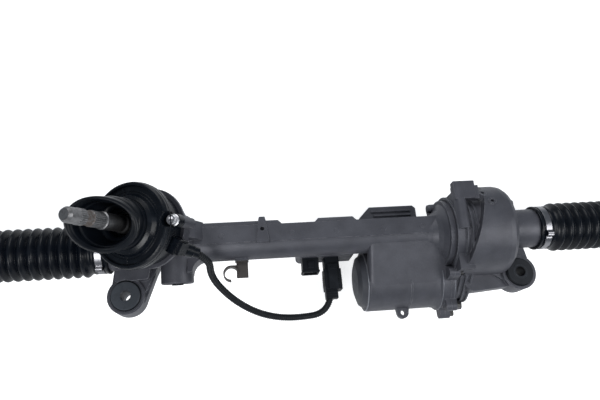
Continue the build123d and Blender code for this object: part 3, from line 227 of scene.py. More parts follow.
class Surface(Nodes):
    """Node tree of one material, with its Principled shader."""

    def __init__(self, name: str) -> None:
        """Starts a material.

        Args:
            name: name of the material.
        """
        self.material = bpy.data.materials.new(name)
        self.material.use_nodes = True
        super().__init__(self.material.node_tree)
        self.shader = self.tree.nodes["Principled BSDF"]
        self.place = self.node("ShaderNodeTexCoord", output="Object")

    def axis(self, which: int) -> Value:
        """One coordinate of the surface in metres: 0, 1 or 2 for X, Y or Z."""
        return self.part(self.place, which)

    def noise(self, scale: float, detail: float = 3.0, stretch: Triple = (1.0, 1.0, 1.0)) -> Value:
        """Even noise.

        Args:
            scale: features per metre.
            detail: octaves.
            stretch: scale along each axis, for drawn or ground marks.

        Returns:
            Noise from 0 to 1.
        """
        place = self.node("ShaderNodeMapping", inputs={"Vector": self.place, "Scale": stretch})
        return self.node("ShaderNodeTexNoise", inputs={"Vector": place, "Scale": scale, "Detail": detail})

    def cells(self, scale: float) -> Value:
        """Distance to the nearest of scattered points.

        Args:
            scale: points per metre.

        Returns:
            Distance, about 0 to 1.
        """
        return self.node("ShaderNodeTexVoronoi", inputs={"Vector": self.place, "Scale": scale})

    def mix(self, mask: Operand, low: Union[Value, Colour], high: Union[Value, Colour]) -> Value:
        """Blends two colours.

        Args:
            mask: 0 gives low and 1 gives high.
            low: colour at 0.
            high: colour at 1.

        Returns:
            The blended colour.
        """
        a, b = ((c if isinstance(c, Value) else (*c, 1.0)) for c in (low, high))
        made = self.tree.nodes.new("ShaderNodeMix")
        made.data_type = "RGBA"
        for socket, value in ((made.inputs[0], mask), (made.inputs[6], a), (made.inputs[7], b)):
            if isinstance(value, Value):
                self.tree.links.new(value.socket, socket)
            else:
                socket.default_value = value
        return Value(self, made.outputs[2])

    def rounding(self, radius: float) -> Value:
        """Normal that rounds the edges, with the radius in metres."""
        return self.node("ShaderNodeBevel", {"samples": 4}, {"Radius": radius})

    def edges(self, radius: float) -> Value:
        """Mask that is 1 on edges, with the reach in metres, where the finishes paint wear and painted edge
        highlights.
        """
        flat = self.node("ShaderNodeNewGeometry", output="Normal")
        return (1.0 - self.vectors("DOT_PRODUCT", self.rounding(radius), flat)).between(0.02, 0.3)

    def vectors(self, operation: str, *operands: Union[Value, Triple]) -> Value:
        """Number that a vector operation gives, such as a distance."""
        return self.node("ShaderNodeVectorMath", {"operation": operation}, dict(enumerate(operands)), "Value")

    def relief(self, height: Value, depth: float, strength: float = 1.0,
               normal: Optional[Value] = None) -> Value:
        """Bump.

        Args:
            height: height from 0 to 1.
            depth: what 1 is in metres.
            strength: share of the effect.
            normal: normal that the bump starts from.

        Returns:
            The bumped normal.
        """
        inputs = {"Height": height, "Distance": depth, "Strength": strength}
        if normal is not None:
            inputs["Normal"] = normal
        return self.node("ShaderNodeBump", inputs=inputs)

    def finish(self, **sockets: Input) -> bpy.types.Material:
        """Sets the shader's sockets and returns the material.

        Args:
            **sockets: names with _ for a space, such as Base_Color, and numbers, colours or expressions.

        Returns:
            The material.
        """
        for key, value in sockets.items():
            socket = self.shader.inputs[key.replace("_", " ")]
            if isinstance(value, Value):
                self.tree.links.new(value.socket, socket)
            else:
                colour = isinstance(value, tuple) and len(value) == 3
                socket.default_value = (*value, 1.0) if colour else value
        return self.material


# ---------------------------------------------------------------- finishes


@dataclass(frozen=True)
class CastFinish:
    """Satin die-cast aluminium with darker clouds, bright specks, and edges painted brighter as wear and as
    painted edge highlights.
    """

    name: str = "cast_aluminium"
    colour: Colour = (0.066, 0.0675, 0.08)
    dark: Colour = (0.047, 0.048, 0.058)
    # bright colour of the specks, the edge wear and the painted edge highlights
    wear_and_highlight: Colour = (0.22, 0.225, 0.25)
    metallic: float = 0.35
    roughness: float = 0.46
    edge: float = 0.0013

    def build(self) -> bpy.types.Material:
        """Returns the material."""
        s = Surface(self.name)
        cloud = s.noise(42.0, 4.0).between(0.25, 0.75)
        speck = s.noise(1500.0, 2.0)
        tone = s.mix(cloud, self.dark, self.colour)
        tone = s.mix(speck.between(0.62, 0.78) * 0.35, tone, self.wear_and_highlight)
        # edges painted brighter: rubbed wear, and a painted highlight along the edges
        tone = s.mix(s.edges(self.edge) * s.noise(160.0).between(0.35, 0.6) * 0.75, tone, self.wear_and_highlight)
        grain = s.noise(1100.0, 5.0) * 0.6 + s.noise(170.0, 3.0) * 0.4
        rough = self.roughness + (s.noise(90.0, 3.0) - 0.5) * 0.22
        return s.finish(Base_Color=tone, Metallic=self.metallic, Roughness=rough,
                        Normal=s.relief(grain, 0.00045, 0.55, s.rounding(self.edge)))


@dataclass(frozen=True)
class MachinedFinish:
    """Turned or milled metal with fine tool marks."""

    name: str
    colour: Colour
    roughness: float = 0.28
    metallic: float = 1.0
    marks: float = 2600.0
    stretch: Triple = (1.0, 0.12, 0.12)

    def build(self) -> bpy.types.Material:
        """Returns the material."""
        s = Surface(self.name)
        lines = s.noise(self.marks, 3.0, self.stretch)
        stain = s.noise(120.0, 4.0).between(0.45, 0.75)
        darker = tuple(c * 0.62 for c in self.colour)
        tone = s.mix(stain * 0.55, self.colour, darker)
        rough = self.roughness + (lines - 0.5) * 0.2 + stain * 0.1
        return s.finish(Base_Color=tone, Metallic=self.metallic, Roughness=rough,
                        Normal=s.relief(lines, 0.00004, 0.6, s.rounding(0.0004)))


@dataclass(frozen=True)
class ShaftFinish:
    """Ground steel of the input shaft, with a brown groove and oxide between the splines."""

    name: str = "input_steel"
    colour: Colour = (0.22, 0.22, 0.226)
    rust: Colour = (0.095, 0.078, 0.068)
    foot: Triple = tuple(c * MM for c in PINION_FOOT)
    along: Triple = PINION_ALONG
    groove: Triple = (0.1615, 0.1625, 0.1725)

    def build(self) -> bpy.types.Material:
        """Returns the material."""
        s = Surface(self.name)
        offset = s.node("ShaderNodeVectorMath", {"operation": "SUBTRACT"}, {0: s.place, 1: self.foot})
        t = s.vectors("DOT_PRODUCT", offset, self.along)
        axis_part = s.node("ShaderNodeVectorMath", {"operation": "SCALE"}, {0: self.along, "Scale": t})
        radius = s.vectors("DISTANCE", offset, axis_part)
        low, mid, high = self.groove
        band = t.between(low, mid) * (1.0 - t.between(high, high + 0.001))
        blotch = s.noise(420.0, 4.0).between(0.4, 0.66)
        root = 1.0 - radius.between(0.0076, 0.0083)
        mask = band * (0.45 + blotch * 0.55) + root * blotch * 0.35
        tone = s.mix(s.noise(300.0, 4.0).between(0.4, 0.7) * 0.6, self.colour, (0.12, 0.12, 0.122))
        tone = s.mix(mask.between(0.0, 1.0), tone, self.rust)
        rough = 0.42 + mask * 0.2 + (s.noise(900.0) - 0.5) * 0.15
        return s.finish(Base_Color=tone, Metallic=1.0 - mask * 0.45, Roughness=rough,
                        Normal=s.relief(s.noise(2200.0, 3.0), 0.00006, 0.6, s.rounding(0.0003)))


@dataclass(frozen=True)
class MouldedFinish:
    """Moulded plastic with a fine spark-eroded grain."""

    name: str
    colour: Colour
    roughness: float = 0.4
    grain: float = 1700.0
    scuff: Colour = (0.028, 0.032, 0.038)
    shine: float = 0.22

    def build(self) -> bpy.types.Material:
        """Returns the material."""
        s = Surface(self.name)
        dust = s.noise(70.0, 5.0).between(0.52, 0.8)
        tone = s.mix(dust * 0.35, self.colour, self.scuff)
        tone = s.mix(s.edges(0.0008) * 0.45, tone, self.scuff)
        rough = self.roughness + (s.noise(130.0, 4.0) - 0.5) * 0.2
        return s.finish(Base_Color=tone, Metallic=0.0, Roughness=rough, Specular_IOR_Level=self.shine,
                        Normal=s.relief(s.noise(self.grain, 2.0), 0.00008, 0.5, s.rounding(0.0008)))


@dataclass(frozen=True)
class RubberFinish:
    """Soft black rubber with bloom in its hollows and lighter patches on its edges, which are rubbed wear
    and, where the share is large, painted glints too.
    """

    name: str
    colour: Colour = (0.0045, 0.006, 0.0085)
    bloom: Colour = (0.011, 0.0135, 0.0175)
    rubbed_and_glint: Colour = (0.05, 0.054, 0.06)
    roughness: float = 0.42
    rub_and_glint_share: float = 0.25
    shine: float = 0.2

    def build(self) -> bpy.types.Material:
        """Returns the material."""
        s = Surface(self.name)
        tone = s.mix(s.noise(55.0, 5.0).between(0.45, 0.75), self.colour, self.bloom)
        # lighter patches on edges: rubbed wear, and painted glints where the share is large, as on the cup
        tone = s.mix(s.edges(0.0009) * s.noise(240.0, 4.0).between(0.45, 0.62) * self.rub_and_glint_share, tone, self.rubbed_and_glint)
        rough = self.roughness + (s.noise(150.0, 4.0) - 0.5) * 0.25
        fine = s.noise(2400.0, 3.0) * 0.5 + s.noise(320.0, 3.0) * 0.5
        return s.finish(Base_Color=tone, Metallic=0.0, Roughness=rough, Specular_IOR_Level=self.shine,
                        Normal=s.relief(fine, 0.00012, 0.45, s.rounding(0.0005)))


@dataclass(frozen=True)
class BandFinish:
    """Bright rolled strip, brushed along its length."""

    name: str = "band_steel"
    colour: Colour = (0.25, 0.25, 0.265)

    def build(self) -> bpy.types.Material:
        """Returns the material."""
        s = Surface(self.name)
        lines = s.noise(3200.0, 2.0, (1.0, 0.06, 0.06))
        tone = s.mix(s.noise(190.0, 4.0).between(0.5, 0.8) * 0.5, self.colour, (0.16, 0.16, 0.168))
        return s.finish(Base_Color=tone, Metallic=1.0, Roughness=0.24 + lines * 0.16,
                        Normal=s.relief(lines, 0.00003, 0.5, s.rounding(0.00025)))


@dataclass(frozen=True)
class ScrewThreadFinish:
    """Hardened rack bar with the helical ball track ground into its right half and painted darker as shade in
    the groove.
    """

    name: str = "rack_steel"
    colour: Colour = (0.5, 0.5, 0.51)
    start: float = 0.338
    lead: float = 0.007

    def build(self) -> bpy.types.Material:
        """Returns the material."""
        s = Surface(self.name)
        x, y, z = (s.axis(i) for i in range(3))
        turn = (z - RACK_Z * MM).atan2(y - RACK_Y * MM) / math.tau
        wave = ((x / self.lead + turn).fraction() * math.tau).cos()
        ball_track = wave.between(-0.2, 0.8) * x.between(self.start, self.start + 0.002)
        # the ball track is painted darker: painted shade in the groove
        tone = s.mix(ball_track * 0.7, self.colour, (0.2, 0.2, 0.21))
        rough = 0.22 + ball_track * 0.15 + (s.noise(700.0) - 0.5) * 0.1
        return s.finish(Base_Color=tone, Metallic=1.0, Roughness=rough,
                        Normal=s.relief(ball_track, -0.0006, 0.8, s.rounding(0.0004)))


@dataclass(frozen=True)
class BoardFinish:
    """Lacquered circuit board with copper tracks and tinned pads."""

    name: str = "board"
    colour: Colour = (0.012, 0.09, 0.035)
    copper: Colour = (0.03, 0.17, 0.07)
    pitch: float = 0.0021

    def build(self) -> bpy.types.Material:
        """Returns the material."""
        s = Surface(self.name)
        along = s.axis(0) / self.pitch + s.noise(90.0, 0.0) * 3.0
        lines = (along.fraction() - 0.5).between(0.1, 0.16)
        pads = 1.0 - s.cells(230.0).between(0.1, 0.16)
        tone = s.mix(lines, self.colour, self.copper)
        tone = s.mix(pads, tone, (0.5, 0.5, 0.48))
        return s.finish(Base_Color=tone, Metallic=pads * 0.9, Roughness=0.3 + lines * 0.1,
                        Normal=s.relief(lines + pads, 0.00005, 0.5))


CAST = CastFinish().build()
STEEL = MachinedFinish("ground_steel", (0.5, 0.5, 0.51), 0.26).build()
DARK_STEEL = MachinedFinish("dark_steel", (0.1, 0.098, 0.097), 0.42, 0.85).build()
BROWN_STEEL = MachinedFinish("hose_clip_steel", (0.07, 0.063, 0.06), 0.5, 0.7).build()
WASHER = MachinedFinish("dull_washer", (0.07, 0.078, 0.09), 0.5, 0.8).build()
# darker copy of the washer finish: painted shade on the right bush sleeve
SHADED_WASHER = MachinedFinish("dark_washer", (0.022, 0.024, 0.028), 0.5, 0.8).build()
ROD_STEEL = MachinedFinish("rod_steel", (0.13, 0.13, 0.135), 0.45, 0.85).build()
BRIGHT = MachinedFinish("bright_screw", (0.62, 0.62, 0.64), 0.32).build()
# bright finish of the rims and the seam: a painted highlight
PAINTED_RIM_HIGHLIGHT = MachinedFinish("rubbed_cast", (0.26, 0.27, 0.3), 0.42, 0.75).build()
CAP = MouldedFinish("grey_cap", (0.04, 0.042, 0.05), 0.45, scuff=(0.08, 0.082, 0.09), shine=0.4).build()
BAND = BandFinish().build()
INPUT_STEEL = ShaftFinish().build()
RACK_STEEL = ScrewThreadFinish().build()
PLASTIC = MouldedFinish("black_plastic", (0.0022, 0.0036, 0.0062), 0.28, scuff=(0.02, 0.024, 0.031)).build()
MATT_PLASTIC = MouldedFinish("matt_plastic", (0.004, 0.0055, 0.008), 0.45, scuff=(0.02, 0.024, 0.031)).build()
CONDUIT = MouldedFinish("conduit_plastic", (0.0045, 0.006, 0.008), 0.36, 900.0, (0.017, 0.02, 0.024)).build()
POLYMER = MouldedFinish("natural_polymer", (0.62, 0.6, 0.54), 0.45, 1200.0, (0.7, 0.68, 0.62), 0.5).build()
RUBBER = RubberFinish("bush_rubber", roughness=0.55).build()
BOOT_RUBBER = RubberFinish("boot_rubber", colour=(0.0018, 0.003, 0.0056), bloom=(0.0036, 0.0052, 0.0085),
                           rub_and_glint_share=0.12, roughness=0.3).build()
# the cup's large share paints glints on its lip edges as well as wear
SEAL_RUBBER = RubberFinish("seal_rubber", colour=(0.0024, 0.0038, 0.0064), bloom=(0.005, 0.0068, 0.0098),
                           rub_and_glint_share=0.7, roughness=0.36, shine=0.22).build()
BELT_RUBBER = RubberFinish("belt_rubber", roughness=0.6).build()
BOARD = BoardFinish().build()
MAGNET = MachinedFinish("sintered_magnet", (0.09, 0.09, 0.1), 0.55, 0.6).build()

NODE_FINISHES: dict[bpy.types.Material, tuple[str, ...]] = {
    CAST: ("main_housing", "gear_cover", "ecu_housing", "ecu_cover", "arm_cover", "yoke"),
    STEEL: ("motor_bearing", "nut_bearing", "low_bearing", "high_bearing", "yoke_spring", "pinion",
            "torsion_bar", "ball_nut", "rotor_shaft", "nut_pulley", "motor_pulley", "left_ball_socket",
            "right_ball_socket"),
    WASHER: ("left_bush_sleeve",),
    # the right sleeve gets the darker copy of the washer: painted shade
    SHADED_WASHER: ("right_bush_sleeve",),
    DARK_STEEL: ("motor_stator", "pinion_cap", "left_lock_nut", "right_lock_nut"),
    ROD_STEEL: ("left_tie_rod", "right_tie_rod"),
    BROWN_STEEL: ("hose_clip",),
    INPUT_STEEL: ("input_shaft",),
    RACK_STEEL: ("rack_bar",),
    PLASTIC: ("sensor_cover", "sensor_connector", "yoke_plug"),
    MATT_PLASTIC: ("vehicle_socket", "sensor_socket", "sensor_plug"),
    CAP: ("motor_cap",),
    RUBBER: ("left_bush_rubber", "right_bush_rubber", "left_bump_stop", "right_bump_stop"),
    BELT_RUBBER: ("drive_belt",),
    POLYMER: ("rack_bush", "left_ball_seat", "right_ball_seat"),
    BOARD: ("circuit_board", "torque_sensor"),
    MAGNET: ("magnet_ring", "rotor"),
    BRIGHT: ("cover_screws",),
}


# ---------------------------------------------------------------- mesh making


@dataclass(frozen=True)
class Axis:
    """A place in the row frame with its own right-handed axes; lengths in millimetres."""

    origin: Triple
    along: Triple = (0.0, 0.0, 1.0)
    across: Triple = (1.0, 0.0, 0.0)

    @property
    def matrix(self) -> Matrix:
        """Matrix from local millimetres to the row frame in metres."""
        z = Vector(self.along).normalized()
        x = Vector(self.across)
        x = (x - z * x.dot(z)).normalized()
        y = z.cross(x)
        m = Matrix((x * MM, y * MM, z * MM)).transposed().to_4x4()
        m.translation = Vector(self.origin) * MM
        return m

    def moved(self, x: float = 0.0, y: float = 0.0, z: float = 0.0) -> "Axis":
        """The same axes with the origin moved along them, in millimetres."""
        o = self.matrix @ Vector((x, y, z)) / MM
        return Axis(tuple(o), self.along, self.across)

    def turned(self, degrees: float) -> "Axis":
        """The same place turned about its own Z."""
        a = math.radians(degrees)
        rotation = self.matrix.to_3x3() @ Vector((math.cos(a), math.sin(a), 0.0))
        return Axis(self.origin, self.along, tuple(rotation.normalized()))

    def tipped(self, degrees: float) -> "Axis":
        """The same place turned about its own X."""
        a = math.radians(degrees)
        frame3 = self.matrix.to_3x3()
        z = frame3 @ Vector((0.0, -math.sin(a), math.cos(a)))
        x = frame3 @ Vector((1.0, 0.0, 0.0))
        return Axis(self.origin, tuple(z.normalized()), tuple(x.normalized()))


RACK = Axis((0.0, RACK_Y, RACK_Z), (1.0, 0.0, 0.0), (0.0, 1.0, 0.0))
MOTOR = Axis((0.0, MOTOR_Y, MOTOR_Z), (1.0, 0.0, 0.0), (0.0, 1.0, 0.0))
PINION = Axis(PINION_FOOT, PINION_ALONG, (0.91425, -0.06268, 0.40026))
HERE = Axis((0.0, 0.0, 0.0))


def outwards(x: float, side: Side) -> Axis:
    """Frame on the rack axis at x millimetres, with its Z pointing out of that end."""
    return Axis((x, RACK_Y, RACK_Z), (float(side.value), 0.0, 0.0), (0.0, 1.0, 0.0))


def linked(name: str, data: Optional[bpy.types.ID]) -> bpy.types.Object:
    """Makes an object of a mesh, curve, camera or lamp and puts it into the scene."""
    obj = bpy.data.objects.new(name, data)
    bpy.context.scene.collection.objects.link(obj)
    return obj


def as_mesh(obj: bpy.types.Object) -> bpy.types.Mesh:
    """Plain mesh of an object as its modifiers leave it."""
    bpy.context.view_layer.update()
    return bpy.data.meshes.new_from_object(obj.evaluated_get(bpy.context.evaluated_depsgraph_get()))


class Shape:
    """A mesh under construction, in the row frame."""

    def __init__(self) -> None:
        """Starts empty."""
        self.bm = bmesh.new()

    def ring(self, points: Iterable[Vector]) -> list[bmesh.types.BMVert]:
        """Adds the corners of one cross-section, in metres."""
        return [self.bm.verts.new(point) for point in points]

    def skin(self, rings: Sequence[Sequence[bmesh.types.BMVert]]) -> "Shape":
        """Joins cross-sections in order and closes both ends.

        Args:
            rings: cross-sections with equal numbers of corners.

        Returns:
            The shape itself.
        """
        count = len(rings[0])
        for a, b in zip(rings, rings[1:]):
            for i in range(count):
                self.bm.faces.new((a[i], a[(i + 1) % count], b[(i + 1) % count], b[i]))
        self.bm.faces.new(list(reversed(rings[0])))
        self.bm.faces.new(rings[-1])
        return self

    def turned(self, axis: Axis, outline: Outline, segments: int = 72, closed: bool = False,
               wobble: Optional[Callable[[float, float], float]] = None) -> "Shape":
        """Adds a surface of revolution.

        Args:
            axis: frame whose Z is the centre line.
            outline: (radius, height) corners.
            segments: steps round the circle.
            closed: True joins the last corner to the first.
            wobble: extra radius from (angle, height).

        Returns:
            The shape itself.
        """
        rings = []
        for r, t in outline:
            if r < 1e-6:
                rings.append([self.bm.verts.new(axis.matrix @ Vector((0.0, 0.0, t)))] * segments)
                continue
            ring = []
            for i in range(segments):
                a = math.tau * i / segments
                rr = r + (wobble(a, t) if wobble else 0.0)
                ring.append(self.bm.verts.new(axis.matrix @ Vector((rr * math.cos(a), rr * math.sin(a), t))))
            rings.append(ring)
        pairs = list(zip(rings, rings[1:])) + ([(rings[-1], rings[0])] if closed else [])
        for low, high in pairs:
            for i in range(segments):
                k = (i + 1) % segments
                corners = list(dict.fromkeys((low[i], low[k], high[k], high[i])))
                if len(corners) > 2:
                    self.bm.faces.new(corners)
        return self

    def prism(self, axis: Axis, corners: Outline, low: float, high: float, chamfer: float = 0.0) -> "Shape":
        """Adds an upright prism with softened rims.

        Args:
            axis: frame of the plan.
            corners: (x, y) corners, counter-clockwise.
            low: height of the bottom.
            high: height of the top.
            chamfer: how far the rims are cut back.

        Returns:
            The shape itself.
        """
        cx = sum(x for x, _ in corners) / len(corners)
        cy = sum(y for _, y in corners) / len(corners)
        reach = max(math.hypot(x - cx, y - cy) for x, y in corners)
        k = 1.0 - chamfer / reach if chamfer else 1.0
        levels = [(k, low), (1.0, low + chamfer), (1.0, high - chamfer), (k, high)] if chamfer else [
            (1.0, low), (1.0, high)]
        place = axis.matrix
        return self.skin([
            self.ring(place @ Vector((cx + (x - cx) * s, cy + (y - cy) * s, t)) for x, y in corners)
            for s, t in levels])

    def box(self, axis: Axis, size: Triple, chamfer: float = 0.4) -> "Shape":
        """Adds a chamfered block standing on the frame's XY plane, size in millimetres."""
        x, y, z = size
        c = min(chamfer, x * 0.3, y * 0.3)
        corners = [(x / 2 - c, -y / 2), (x / 2, -y / 2 + c), (x / 2, y / 2 - c), (x / 2 - c, y / 2),
                   (-x / 2 + c, y / 2), (-x / 2, y / 2 - c), (-x / 2, -y / 2 + c), (-x / 2 + c, -y / 2)]
        return self.prism(axis, corners, 0.0, z, min(chamfer, z * 0.3))

    def tube(self, points: Sequence[Vector], radii: Sequence[float], segments: int = 20) -> "Shape":
        """Adds a round tube along points, all in metres.

        Args:
            points: centre line.
            radii: radius at each point.
            segments: steps round the circle.

        Returns:
            The shape itself.
        """
        up = Vector((0.0, 0.0, 1.0))
        rings = []
        for i, p in enumerate(points):
            d = (points[min(i + 1, len(points) - 1)] - points[max(i - 1, 0)]).normalized()
            up = (up - d * up.dot(d)).normalized()
            side = d.cross(up)
            rings.append(self.ring(p + (up * math.cos(a) + side * math.sin(a)) * radii[i]
                                   for a in (math.tau * k / segments for k in range(segments))))
        return self.skin(rings)

    def strip(self, axis: Axis, path: Outline, low: float, high: float, thick: float) -> "Shape":
        """Adds a band of metal that follows a path in the frame's XY plane.

        Args:
            axis: frame of the path.
            path: (x, y) points of the band's inner face.
            low: height of one edge.
            high: height of the other edge.
            thick: thickness of the strip, towards the path's right.

        Returns:
            The shape itself.
        """
        edge = min(0.25, thick * 0.4)
        section = [(0.0, low + edge), (edge, low), (thick - edge, low), (thick, low + edge),
                   (thick, high - edge), (thick - edge, high), (edge, high), (0.0, high - edge)]
        rings = []
        for i, (x, y) in enumerate(path):
            x0, y0 = path[max(i - 1, 0)]
            x1, y1 = path[min(i + 1, len(path) - 1)]
            length = math.hypot(x1 - x0, y1 - y0) or 1.0
            nx, ny = (y1 - y0) / length, -(x1 - x0) / length
            rings.append(self.ring(axis.matrix @ Vector((x + nx * d, y + ny * d, t)) for d, t in section))
        return self.skin(rings)

    def take(self, other: bpy.types.Mesh) -> "Shape":
        """Adds another mesh and joins what touches."""
        self.bm.from_mesh(other)
        bmesh.ops.remove_doubles(self.bm, verts=self.bm.verts, dist=2e-6)
        return self

    def template(self, name: str) -> bpy.types.Mesh:
        """Closes the mesh as a model for scattered(), with one unit for each millimetre."""
        self.bm.transform(Matrix.Diagonal((1000.0, 1000.0, 1000.0, 1.0)))
        return self.mesh(name)

    def mesh(self, name: str, sharp: float = 35.0) -> bpy.types.Mesh:
        """Closes the mesh.

        Args:
            name: name of the mesh.
            sharp: angle in degrees over which an edge stays sharp.

        Returns:
            The mesh, smooth shaded, with its faces pointing outwards.
        """
        bmesh.ops.remove_doubles(self.bm, verts=self.bm.verts, dist=1e-7)
        bmesh.ops.recalc_face_normals(self.bm, faces=self.bm.faces)
        made = bpy.data.meshes.new(name)
        self.bm.to_mesh(made)
        self.bm.free()
        made.shade_smooth()
        made.set_sharp_from_angle(angle=math.radians(sharp))
        return made


def rounded(outline: Outline, share: float = 0.28) -> list[tuple[float, float]]:
    """Cuts each inner corner of an outline twice, so that it turns softly.

    Args:
        outline: (radius, height) corners.
        share: part of each side that the first cut takes.

    Returns:
        The softened corners.
    """
    out = list(outline)
    for s in (share, 0.3):
        soft = [out[0]]
        for a, b, c in zip(out, out[1:], out[2:]):
            soft.append((b[0] + (a[0] - b[0]) * s, b[1] + (a[1] - b[1]) * s))
            soft.append((b[0] + (c[0] - b[0]) * s, b[1] + (c[1] - b[1]) * s))
        soft.append(out[-1])
        out = soft
    return out


def piece(name: str, mesh: bpy.types.Mesh, finish: bpy.types.Material,
          body: Optional[str] = "housing", replaces: Sequence[str] = ()) -> bpy.types.Object:
    """Makes an object of a mesh and lets it ride.

    Args:
        name: name of the piece.
        mesh: its mesh, in the row frame.
        finish: material.
        body: CAD body that it rides on, or None where it rides on none.
        replaces: CAD nodes that it stands for.

    Returns:
        The object.
    """
    obj = linked(name, mesh)
    obj.data.materials.clear()
    obj.data.materials.append(finish)
    if body is not None:
        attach(obj, body)
    if replaces:
        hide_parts(*replaces)
    LOG.info("%s: %d faces", name, len(mesh.polygons))
    return obj


# ---------------------------------------------------------------- geometry node trees


class ShapeTree(Nodes):
    """Geometry node tree with named inputs that ends in a plain mesh."""

    socket_kinds = ((int, "NodeSocketInt"), (float, "NodeSocketFloat"),
                    (bpy.types.Object, "NodeSocketObject"))

    def __init__(self, name: str, inputs: dict[str, Input]) -> None:
        """Starts the tree.

        Args:
            name: name of the tree.
            inputs: value by input name.
        """
        super().__init__(bpy.data.node_groups.new(name, "GeometryNodeTree"))
        for end in ("INPUT", "OUTPUT"):
            self.tree.interface.new_socket("Geometry", in_out=end, socket_type="NodeSocketGeometry")
        self.values: dict[str, Input] = {}
        for key, value in inputs.items():
            kind = next(kind for python_type, kind in self.socket_kinds if isinstance(value, python_type))
            made = self.tree.interface.new_socket(key, in_out="INPUT", socket_type=kind)
            self.values[made.identifier] = value
        self.source = self.tree.nodes.new("NodeGroupInput")

    def read(self, name: str) -> Value:
        """An input of the tree by name."""
        return Value(self, self.source.outputs[name])

    def evaluate(self, result: Value, host: bpy.types.Mesh, finish: bpy.types.Material, name: str,
                 sharp: float = 35.0) -> bpy.types.Mesh:
        """Closes the tree and turns its result into a mesh.

        Args:
            result: geometry at the end of the tree.
            host: mesh that the tree starts from.
            finish: material that the tree sets.
            name: name of the new mesh.
            sharp: angle over which an edge stays sharp.

        Returns:
            The plain mesh.
        """
        real = self.node("GeometryNodeRealizeInstances", inputs={0: result})
        dressed = self.node("GeometryNodeSetMaterial", inputs={"Geometry": real, "Material": finish})
        end = self.tree.nodes.new("NodeGroupOutput")
        self.tree.links.new(dressed.socket, end.inputs[0])
        carrier = linked(name + "_carrier", host)
        modifier = carrier.modifiers.new("shape", "NODES")
        modifier.node_group = self.tree
        for identifier, value in self.values.items():
            modifier[identifier] = value
        made = as_mesh(carrier)
        carrier.modifiers.remove(modifier)
        bpy.data.objects.remove(carrier)
        made.name = name
        made.shade_smooth()
        made.set_sharp_from_angle(angle=math.radians(sharp))
        return made


def scattered(name: str, template: bpy.types.Mesh, spots: Iterable[Axis], finish: bpy.types.Material,
              width: float = 1.0, height: float = 1.0, spin: float = 0.0, seed: int = 3) -> bpy.types.Mesh:
    """Repeats a template, made in millimetres round its own origin, at each spot.

    Args:
        name: name of the mesh.
        template: mesh of one copy.
        spots: frames that the copies stand on.
        finish: material of the copies.
        width: scale across the copy's Z.
        height: scale along the copy's Z.
        spin: largest random turn about Z, in radians.
        seed: seed of that turn.

    Returns:
        One mesh that holds all the copies.
    """
    spots = list(spots)
    host = bpy.data.meshes.new(name + "_spots")
    host.from_pydata([spot.matrix.translation for spot in spots], [], [])
    aims = host.attributes.new("aim", "FLOAT_VECTOR", "POINT")
    for item, spot in zip(aims.data, spots):
        item.vector = spot.matrix.to_3x3().normalized().to_euler()
    model = linked(name + "_model", template)
    tree = ShapeTree(name + "_tree", {"Model": model, "Width": width * MM, "Height": height * MM,
                                      "Spin": spin, "Seed": seed})
    aim = tree.node("GeometryNodeInputNamedAttribute", {"data_type": "FLOAT_VECTOR"}, {"Name": "aim"})
    info = tree.node("GeometryNodeObjectInfo", inputs={"Object": tree.read("Model")}, output="Geometry")
    size = tree.vector(tree.read("Width"), tree.read("Width"), tree.read("Height"))
    copies = tree.node("GeometryNodeInstanceOnPoints", inputs={
        "Points": tree.read("Geometry"), "Instance": info, "Rotation": aim, "Scale": size})
    turn = tree.node("FunctionNodeRandomValue", {"data_type": "FLOAT"},
                     {"Min": 0.0, "Max": tree.read("Spin"), "Seed": tree.read("Seed")}, "Value")
    copies = tree.node("GeometryNodeRotateInstances", inputs={
        "Instances": copies, "Rotation": tree.vector(0.0, 0.0, turn)})
    made = tree.evaluate(copies, host, finish, name)
    bpy.data.objects.remove(model)
    return made


# ---------------------------------------------------------------- sub-assemblies, sizes in millimetres


